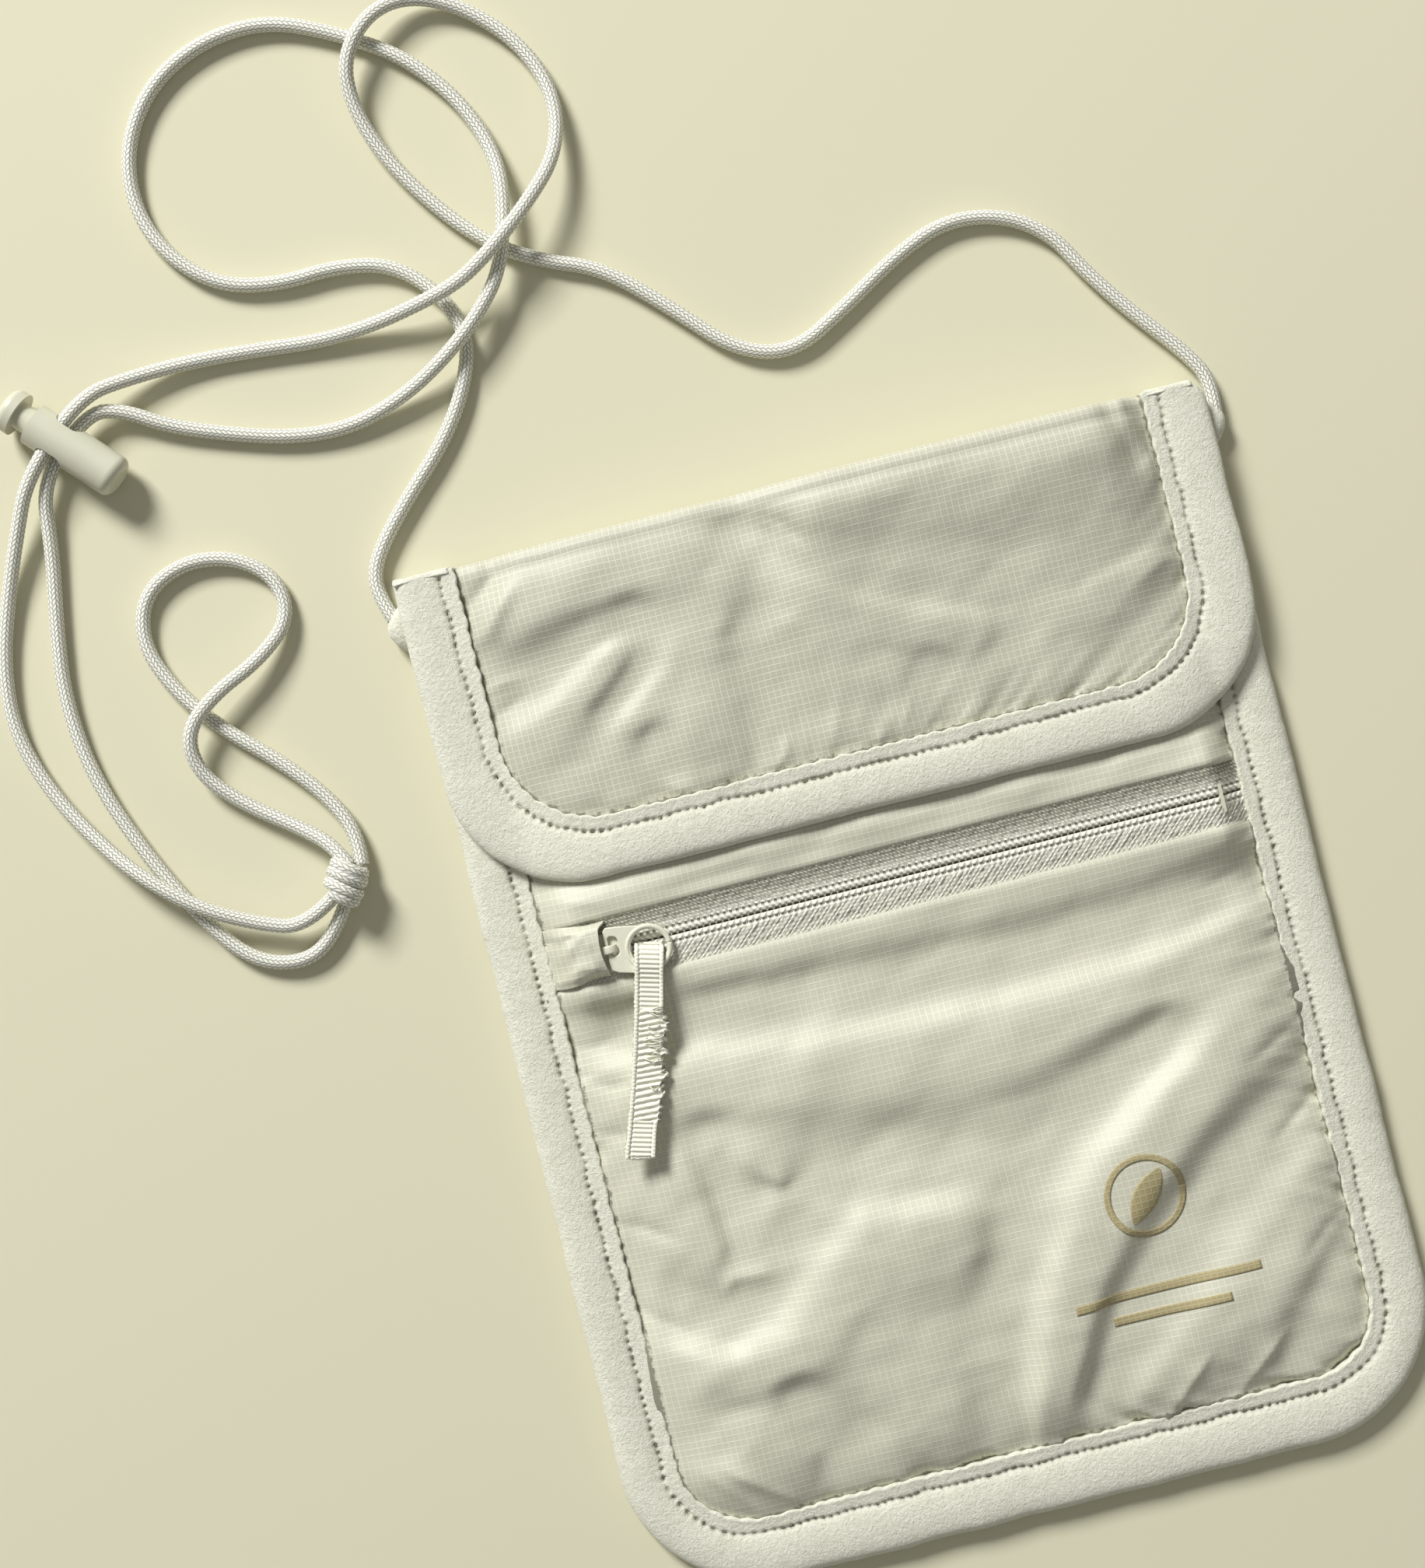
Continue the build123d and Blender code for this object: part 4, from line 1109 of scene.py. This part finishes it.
STITCH_IN = 2.6
STITCH_PITCH = 1.4
HEM_SECTION = [
    (0.0, 0.45), (-0.05, 0.80), (0.03, 0.95), (0.25, 0.99), (0.5, 0.98), (0.9, 0.95), (1.5, 0.94),
    (2.0, 0.93), (2.2, 0.92), (2.4, 0.91), (2.6, 0.90), (2.8, 0.91), (3.0, 0.93), (3.3, 0.95), (3.8, 0.98),
]
ROLL_SECTION = [
    (0.5, 1.03), (0.6, 1.035), (0.7, 1.02), (0.79, 0.985), (0.87, 0.92), (0.93, 0.81), (0.97, 0.66),
    (0.995, 0.48), (1.0, 0.32), (0.985, 0.16), (0.95, 0.05), (0.88, 0.0),
]
UNDER_SECTION = [(0.6, 0.0), (0.35, 0.0), (0.12, 0.0), (0.0, 0.1)]


def binding_points(hem, outer, lift, thick, seed):
    """A folded tape edge: a thin hem, a stitched groove and a soft outer roll, and the painted shade of its
    stitch dimples.
    """
    n = len(hem)
    steps = run_lengths(hem)
    width = np.hypot(*(outer - hem).T)
    across = (outer - hem) / width[:, None]
    section = [(np.full(n, s), h) for s, h in HEM_SECTION]
    section += [(width * share, h) for share, h in ROLL_SECTION + UNDER_SECTION]
    soft = lattice_noise(steps / 7.5, np.zeros(n), seed)
    small = lattice_noise(steps / 1.9, np.zeros(n) + 5, seed + 1)
    waver = 0.24 * lattice_noise(steps / 3.1, np.zeros(n) + 9, seed + 3)
    waver = waver + 0.14 * lattice_noise(steps / 0.8, np.zeros(n) + 4, seed + 8)
    uneven = 1.2 * soft + 1.0 * lattice_noise(steps / 2.3, np.zeros(n) + 6, seed + 9)
    dimple = np.clip(0.35 + np.cos(2 * math.pi * steps / STITCH_PITCH + uneven), 0, 1)
    dimple *= 0.68 + 0.32 * lattice_noise(steps / 1.7, np.zeros(n) + 2, seed + 4)
    tuck = np.abs(np.sin(math.pi * steps / (2 * STITCH_PITCH) + 1.5 * soft))
    points = np.zeros((n, len(section), 3))
    sunk = np.zeros((n, len(section)))
    for k, (s, h) in enumerate(section):
        upper = h > 0.3
        edge = np.clip(1 - s / 1.8, 0, 1) * upper
        groove = np.exp(-(((s - STITCH_IN - waver) / 0.34) ** 2)) * upper
        rim = (s > 0.75 * width) * (0.16 * soft + 0.05 * small)
        offset = edge * (0.26 * (0.6 - tuck) + 0.12 * small) + rim
        rough = 0.035 * lattice_noise(steps / 1.2, s / 0.9, seed + 7) + 0.06 * soft
        height = h * thick + upper * (rough - groove * (0.10 + 0.95 * dimple) + edge * 0.08 * (tuck - 0.5))
        place = hem + across * (s + offset)[:, None]
        points[:, k, :2] = place
        points[:, k, 2] = lift(place[:, 0], place[:, 1]) + height
        # painted shade where the stitches pull the groove down
        sunk[:, k] = np.clip(groove * dimple * 1.1, 0, 0.9)
    return points, sunk


def tape_ring(name, points, sunk, body, replaced):
    """A closed tube of tape from rings of points, capped at both ends, with the painted shade of its
    stitches kept on its points.
    """
    verts, faces = capped(points, points[[0, -1]].mean(1))
    weave = np.concatenate([points.reshape(-1, 3), points[[0, -1], 0]])
    piece = mesh_object(name, verts, faces, weave, body, "binding_tape", "binding_tape", replaced)
    # the painted stitch shade is stored on the points
    shade = piece.data.attributes.new("sunk", "FLOAT", "POINT")
    shade.data.foreach_set("value", np.append(sunk.ravel(), (0, 0)).astype(np.float32))


def make_stitches(name, hem, lift, height, body):
    """Short threads sunk in the groove of a bound edge."""
    steps = run_lengths(hem[0])
    across = hem[1] - hem[0]
    across /= np.hypot(*across.T)[:, None]
    line = hem[0] + across * STITCH_IN
    parts = []
    t = np.linspace(0.18, 0.82, 7)
    for start in np.arange(0.6, steps[-1] - STITCH_PITCH, STITCH_PITCH):
        place = start + t * STITCH_PITCH
        x = np.interp(place, steps, line[:, 0])
        y = np.interp(place, steps, line[:, 1])
        parts.append(tube_mesh(stacked(x, y, lift(x, y) + height + 0.22 * np.sin(math.pi * t)), 0.15, 6))
    mesh_object(name, *joined(parts), body, "binding_tape", "thread")


BODY_THICK = 3.75
FLAP_THICK = 2.35
EDGE_TOP_Y = 88.9
EDGE_STEP = 0.45
CORNER_FOLD_Y = 4.2
CORNER_FOLD_X = 2.8


def level(x, y):
    return np.full(np.shape(x), 0.02)


def flap_edge_lift(x, y):
    """Underside of the flap's bound edge: low over the sides, high across the middle."""
    return flap_base(x) - 2.0


def make_bound_edge(part, hem, outer, top_y, lift, thick, groove, seed, body):
    """A bound edge and its stitching. Its outer corner is folded round at the cord's right exit."""
    edges = binding_stations(hem, outer, top_y, EDGE_STEP)
    outer_x, outer_y = edges[1].T
    high = np.clip((outer_y - EDGE_TOP_Y + CORNER_FOLD_Y) / CORNER_FOLD_Y, 0, 1)
    outer_x -= np.where(outer_x > 0, CORNER_FOLD_X * (1 - np.sqrt(1 - 0.98 * high**2)), 0.0)
    points, sunk = binding_points(*edges, lift, thick, seed)
    tape_ring(f"{part}_bound_edge", points, sunk, body, (f"{part}_binding",))
    make_stitches(f"{part}_stitching", edges, lift, thick * groove, body)


make_bound_edge("body", BODY_HEM, BODY_OUTER, BODY_END_Y, level, BODY_THICK, 0.66, 71, "pouch")
make_bound_edge("flap", FLAP_HEM, FLAP_OUTER, EDGE_TOP_Y, flap_edge_lift, FLAP_THICK, 0.55, 91, "flap")


# ---------------------------------------------------------------- zip
def beats(x):
    """An angle that turns once for each stitch of the zip."""
    return 2 * math.pi * x / ZIP_PITCH


def make_tape(name, low_y, high_y, node):
    """Half the zip band: knitted tape, a row of stitches over the coil and a rolled edge."""
    x, y = np.meshgrid(np.arange(-HEM_X - 1.0, HEM_X + 1.2, 0.22), np.arange(low_y, high_y + 0.001, 0.2))
    away = np.abs(y - ZIP_Y)
    side = np.sign(y - ZIP_Y)
    roll = 0.14 * np.exp(-(((away - 0.8) / 0.42) ** 2)) * (0.6 + 0.4 * np.cos(beats(x) + 1.0))
    edge = -0.12 * smooth((0.24 - away) / 0.22)
    stitch = -0.55 * np.exp(-(((away - 1.25) / 0.26) ** 2)) * np.clip(np.cos(beats(x + 0.3 * side)), 0, 1)
    picks = -0.5 * np.exp(-(((away - 0.30) / 0.20) ** 2)) * np.clip(np.cos(beats(x) + 2), 0, 1)
    knit = 0.13 * np.sin(2 * math.pi * (x / 0.95 + side * y / 0.9))
    rough = 0.12 * lattice_noise(x / 0.55, y / 0.45, 85)
    z = band_height(x, y) + roll + edge + stitch + picks + (knit + rough) * (away > 1.7)
    cloth(name, stacked(x, y, z), 0.35, "pouch", "zip_tape", "zip_tape", (node,), stacked(x, y, 0))


make_tape("zip_band_lower", ZIP_LOW_Y - 0.6, ZIP_Y - 0.03, "zip_tape_lower")
make_tape("zip_band_upper", ZIP_Y + 0.03, ZIP_HIGH_Y + 0.6, "zip_tape_upper")


def make_coil(name, side, node):
    """One half of the nylon coil: flattened turns behind the tape."""
    half = 54.8
    pitch = 1.15
    t = np.arange(-half, half, 0.09)
    angle = 2 * math.pi * t / pitch + (math.pi if side > 0 else 0)
    line = stacked(t, COIL_Y + side * (1.55 + 0.95 * np.cos(angle)), 6.8 + 0.30 * np.sin(angle))
    mesh_object(name, *tube_mesh(line, 0.2, 6), "pouch", "zip_coil", "zip_coil", (node,))


make_coil("coil_lower", -1, "zip_coil_lower")
make_coil("coil_upper", 1, "zip_coil_upper")


def make_garage():
    """Fabric tab over the closed end: its free edge is cut in a shallow curve and curls up."""
    low_y, high_y = 16.0, 25.8
    uu, vv = np.meshgrid(np.linspace(0, 1, 64), np.linspace(0, 1, 52))
    edge = -50.2 - 0.6 * np.sin(math.pi * vv) + 0.9 * smooth((vv - 0.88) / 0.12)
    x = -60.5 + (edge + 60.5) * uu
    y = low_y + (high_y - low_y) * vv + 0.35 * np.sin(5.0 * uu + 0.6) * (2 * vv - 1)
    rise = smooth((x + 60.6) / 5.0)
    curl = smooth((uu - 0.35) / 0.5) * np.sin(math.pi * np.clip(vv, 0, 1)) ** 0.5
    tuck = smooth((np.abs(vv - 0.5) - 0.36) / 0.14)
    z = 3.3 + 5.7 * rise + 1.9 * curl - 1.0 * tuck * rise
    z = z + fold(x, y, [(-62, 20.5), (-57, 21.5), (-50.5, 26)], 0.6, 2.0, 1.6, (0.1, 0.1), 1.6) * rise
    z = z + fold(x, y, [(-61, 24), (-57, 23.4), (-53, 24.8)], -0.3, 0.8, 0.8, (0.1, 0.3), 1.6)
    z = z + fold(x, y, [(-60, 16.5), (-55, 18.6), (-51, 18)], 0.45, 1.1, 1.1, (0.1, 0.2), 1.6)
    z = z + fold(x, y, [(-57.5, 16), (-55, 21), (-55.5, 25)], -0.2, 1.1, 1.1, (0.2, 0.2), 1.6)
    z = z + 0.12 * lattice_noise(x / 1.8, y / 1.6, 95) * rise
    points = stacked(x, y, z)
    flat = stacked(x, y, 0)
    piece = cloth("garage_tab", points, FABRIC_T, "pouch", "ripstop", "ripstop", ("zip_garage",), flat)


make_garage()
dress(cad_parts["zip_stops"], "zip_coil")


def rounded(corners, steps=8):
    """Outline through corners (x, y, radius), each cut by an arc."""
    out = []
    n = len(corners)
    for i, (x, y, radius) in enumerate(corners):
        here = np.array((x, y))
        before = np.array(corners[i - 1][:2]) - here
        after = np.array(corners[(i + 1) % n][:2]) - here
        before_u = before / np.hypot(*before)
        after_u = after / np.hypot(*after)
        half = 0.5 * math.acos(np.clip(before_u @ after_u, -1, 1))
        reach = min(radius / math.tan(half), 0.49 * np.hypot(*before), 0.49 * np.hypot(*after))
        r = reach * math.tan(half)
        middle = before_u + after_u
        centre = here + middle / np.hypot(*middle) * (r / math.sin(half))
        a0 = here + before_u * reach - centre
        a1 = here + after_u * reach - centre
        t0 = math.atan2(a0[1], a0[0])
        turn = (math.atan2(a1[1], a1[0]) - t0 + math.pi) % (2 * math.pi) - math.pi
        for k in range(steps + 1):
            t = t0 + turn * k / steps
            out.append(centre + r * np.array((math.cos(t), math.sin(t))))
    return out


def plate(outlines, low_z, high_z, bevel):
    """Points and faces of a flat plate with holes and rounded edges."""
    verts, faces = curve_mesh(
        "plate", "2D", "POLY", [[(x, y, 0) for x, y in outline] for outline in outlines],
        fill_mode="BOTH", extrude=((high_z - low_z) / 2 - bevel) * MM, bevel_depth=bevel * MM,
        bevel_resolution=3, offset=-bevel * MM,
    )
    return verts + (0, 0, (low_z + high_z) / 2), faces


def strap(line, half_w, half_t):
    """A flat bar bent along a line in the XZ plane, with rounded edges."""
    tangent = np.gradient(line, axis=0)
    tangent /= np.linalg.norm(tangent, axis=1, keepdims=True)
    out = np.cross(tangent, (0, 1.0, 0))[:, None, :]
    angle = np.linspace(0, 2 * math.pi, 20, endpoint=False)
    across = np.sign(np.cos(angle)) * np.abs(np.cos(angle)) ** 0.45 * half_w
    thick = np.sign(np.sin(angle)) * np.abs(np.sin(angle)) ** 0.7 * half_t
    rings = line[:, None, :] + stacked(0, across, 0)[None] + thick[None, :, None] * out
    return capped(rings, line[[0, -1]])


def assembled(name, parts, body, material, replaced=()):
    """One piece from several closed shapes."""
    mesh_object(name, *joined(parts), body, material, material, replaced)


def make_slider():
    """Cast slider: two plates joined by a wedge, and the crown that holds the puller."""
    top = rounded([
        (-54.2, 17.2, 1.6), (-48.6, 16.9, 1.8), (-45.8, 18.3, 0.9),
        (-45.8, 21.7, 0.9), (-48.6, 23.1, 1.8), (-54.2, 22.8, 1.6),
    ])
    wedge = rounded([(-51.4, 20.0, 0.4), (-48.6, 19.0, 0.4), (-46.6, 20.0, 0.4), (-48.6, 21.0, 0.4)])
    t = np.linspace(0, math.pi, 24)
    arch = stacked(-49.75 - 1.35 * np.cos(t), 20.6, 8.3 + 1.5 * np.sin(t) ** 0.6)
    parts = [plate([top], 7.85, 8.5, 0.2), plate([top], 5.85, 6.35, 0.15), plate([wedge], 6.2, 8.0, 0.1)]
    parts.append(strap(arch, 0.7, 0.26))
    for side in (-1, 1):
        y = COIL_Y + side * 3.05
        low, high = y - 0.22, y + 0.22
        corners = [(-53.2, low), (-47.8, low), (-47.8, high), (-53.2, high)]
        flange = rounded([(*corner, 0.15) for corner in corners])
        parts.append(plate([flange], 7.3, 8.2, 0.1))
    assembled("slider_body", parts, "zip_slider", "slider_paint", ("zip_slider",))


def make_puller():
    """Stamped puller: a flat tab that ends in a rolled ring."""
    ring = np.array((-43.1, 19.4))
    turn = np.linspace(math.radians(100), math.radians(-98), 30)
    head = [tuple(ring + 4.0 * np.array((math.cos(t), math.sin(t)))) for t in turn]
    tab = [
        (-46.6, 15.9), (-48.8, 16.5), (-49.9, 17.2), (-50.0, 18.6),
        (-50.0, 22.6), (-49.9, 23.8), (-49.3, 24.3), (-46.6, 23.9),
    ]
    eye = rounded([(-49.4, 19.2, 0.5), (-47.8, 19.5, 0.8), (-47.8, 22.4, 0.8), (-49.4, 22.9, 0.5)])
    around = np.linspace(0, 2 * math.pi, 40, endpoint=False)
    opening = [(-43.0 + 3.05 * math.cos(t), 19.45 + 3.0 * math.sin(t)) for t in around]
    parts = [plate([head + tab, eye, opening], 8.72, 9.28, 0.18)]
    around = np.linspace(0, 2 * math.pi, 73)
    rim = stacked(-43.05 + 3.58 * np.cos(around), 19.42 + 3.56 * np.sin(around), 9.06)
    parts.append(tube_mesh(rim, 0.42, 14)[:2])
    assembled("puller_tab", parts, "zip_puller", "slider_paint", ("zip_puller",))


make_slider()
make_puller()

# ---------------------------------------------------------------- ribbon pull
RIBBON_TOP = np.array((-42.8, 20.0))
RIBBON_DOWN = np.array((-0.272, -0.962))
RIBBON_SIDE = np.array((0.962, -0.272))
RIBBON_HALF_W = 2.4
RIBBON_L = 35.7
RIB_PITCH = 0.78
SEWN = (10.5, 29.8)


def ribbon_relief(v, u, seed):
    """Ribs across, a corded edge on both sides and tangled tacking down the middle."""
    sewn = smooth((v - SEWN[0]) / 0.8) * smooth((SEWN[1] - v) / 0.8)
    edge = smooth((np.abs(u) - 0.70) / 0.04)
    ribs = 0.11 * np.clip(np.cos(2 * math.pi * v / RIB_PITCH) * 1.6, -1, 1)
    bead = 0.22 * np.sqrt(np.clip(1 - ((np.abs(u) - 0.86) / 0.15) ** 2, 0, 1))
    bead = bead * (1 + 0.18 * np.cos(2 * math.pi * v / 0.62))
    gap = -0.16 * np.exp(-(((np.abs(u) - 0.68) / 0.035) ** 2))
    lean = 0.55 * u + 0.25 * lattice_noise(v / 2.6, 0 * v, seed)
    thread = 0.42 * np.abs(np.cos(math.pi * (v / 1.0 + lean))) ** 1.2 - 0.24
    back = 0.16 * np.abs(np.cos(math.pi * (v / 1.9 - 0.9 * u))) ** 8
    tangle = thread + back + 0.06 * lattice_noise(v / 0.5, u * 3, seed + 1)
    flat = ribs * (1 - edge) + bead * edge + gap
    cover = sewn * smooth((u + 0.70) / 0.06) * smooth((1.02 - u) / 0.1)
    return flat * (1 - cover) + tangle * cover


def on_ribbon(across, down, z):
    """Points at distances across and down the ribbon."""
    x = RIBBON_TOP[0] + across * RIBBON_SIDE[0] + down * RIBBON_DOWN[0]
    y = RIBBON_TOP[1] + across * RIBBON_SIDE[1] + down * RIBBON_DOWN[1]
    return stacked(x, y, z)


def make_ribbon():
    """Doubled grosgrain, looped through the ring, tacked down the middle and cut off below."""
    v = np.arange(0, RIBBON_L, 0.11)
    u = np.linspace(-1, 1, 45)
    v, u = np.meshgrid(v, u, indexing="ij")
    flare = 1 + 0.05 * smooth((v - 31) / 4) + 0.02 * lattice_noise(v / 2.4, 0 * v, 101)
    fray = np.abs(lattice_noise(v / 1.1, 0 * v, 105)) * smooth((v - 12) / 2) * smooth((27 - v) / 3)
    ragged = 0.16 * lattice_noise(v / 0.35, 0 * v, 109) * smooth((v - 11) / 2) * smooth((29 - v) / 3)
    side = u * RIBBON_HALF_W * flare + np.where(u > 0.9, 0.75 * fray + ragged, 0)
    cut = smooth((v - (RIBBON_L - 0.8)) / 0.8) * (-0.25 * u + 0.12 * lattice_noise(u * 9, 0 * u, 111))
    sway = 0.30 * np.sin(v / 8.5) - 0.20 * smooth((v - 26) / 10)
    over_ring = 0.65 * np.exp(-(((v - 3.2) / 2.2) ** 2))
    dip = -0.55 * smooth((1.3 - v) / 1.3)
    rest = 9.35 + over_ring + dip + 0.35 * np.sin(v / 7.0) ** 2 + 0.35 * smooth((v - 30) / 6)
    points = on_ribbon(side + sway, v + cut, rest + ribbon_relief(v, u, 107))[:, ::-1]
    weave = stacked(side, v, 0)[:, ::-1]
    nodes = ("pull_ribbon", "ribbon_loop")
    piece = cloth("ribbon_pull", points, 0.9, None, "ribbon", "ribbon", nodes, weave)
    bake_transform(piece)


make_ribbon()


def make_tacking():
    """Loose ends of thread that stand out of the tacked part of the ribbon."""
    rng = np.random.default_rng(7)
    parts = []
    for _ in range(22):
        v = rng.uniform(SEWN[0] + 0.3, SEWN[1] - 4.5)
        u0 = rng.uniform(-0.2, 0.5)
        u1 = rng.uniform(0.85, 1.16)
        t = np.linspace(0, 1, 9)
        across = (u0 + (u1 - u0) * t) * RIBBON_HALF_W
        down = v + rng.uniform(-0.9, 0.9) * t + rng.uniform(-0.4, 0.4) * np.sin(math.pi * t)
        z = 9.5 + 0.3 * np.sin(math.pi * t) + 0.35 * np.sin(v / 7.0) ** 2 + rng.uniform(0, 0.15)
        parts.append(tube_mesh(on_ribbon(across, down, z), 0.11, 6)[:2])
    assembled("ribbon_tacking", parts, "pull_ribbon", "ribbon")


make_tacking()

# ---------------------------------------------------------------- small pieces
for name in ("hook_strip", "loop_strip"):
    dress(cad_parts[name], "closure_tape")


def make_cord_tab(name, side, node):
    """A scrap of tape folded round the cord's end and caught in the bound edge."""
    t = np.linspace(0, 1, 40)[:, None]
    angle = np.linspace(0, 2 * math.pi, 24, endpoint=False)[None, :]
    swell = np.sin(math.pi * np.clip(t, 0.02, 0.98)) ** 0.7
    creased = 1 + 0.05 * lattice_noise(angle * 2.2, t * 9, 131)
    x = side * (69.5 + 1.2 * np.sin(math.pi * t**1.2)) + (0.25 + 1.95 * swell) * np.cos(angle) * creased
    z = 2.0 + (0.25 + 1.7 * swell) * np.sin(angle) * creased
    points = stacked(x, 77.0 + 8.6 * t + 0.25 * np.cos(angle), z)
    tape_ring(name, points[:, ::-1], np.zeros(points.shape[:2]), "pouch", (node,))


make_cord_tab("cord_tab_right", 1, "cord_loop_right")
make_cord_tab("cord_tab_left", -1, "cord_loop_left")


def printed(name, x, y):
    """A thin patch of ink that lies on the front fabric."""
    points = stacked(x, y, front_height(x, y) + 0.12)
    cloth(name, points, 0.1, "pouch", "ripstop", "print", (), stacked(x, y, 0))


def make_print():
    """A generic mark: a ring with a leaf across it, over two plain bars."""
    mark_x, mark_y = 27, -41
    angle, radius = np.meshgrid(np.linspace(0, 2 * math.pi, 90), np.linspace(6.0, 7.1, 5))
    printed("print_ring", mark_x + radius * np.cos(-angle), mark_y + radius * np.sin(-angle))
    t, w = np.meshgrid(np.linspace(0, 1, 40), np.linspace(-1, 1, 11))
    belly = 2.3 * np.sin(math.pi * t) ** 0.8
    along = (t - 0.5) * 10.5
    turn = math.radians(52)
    leaf_x = mark_x + along * math.cos(turn) - w * belly * math.sin(turn)
    leaf_y = mark_y + along * math.sin(turn) + w * belly * math.cos(turn)
    printed("print_leaf", leaf_x, leaf_y)
    for k, (length, low) in enumerate(((32.0, -57.6), (20.0, -61.6)), 1):
        across = np.linspace(mark_x - length / 2, mark_x + length / 2, int(length / 0.5))
        printed(f"print_bar_{k}", *np.meshgrid(across, np.linspace(low, low + 1.5, 6)))


make_print()
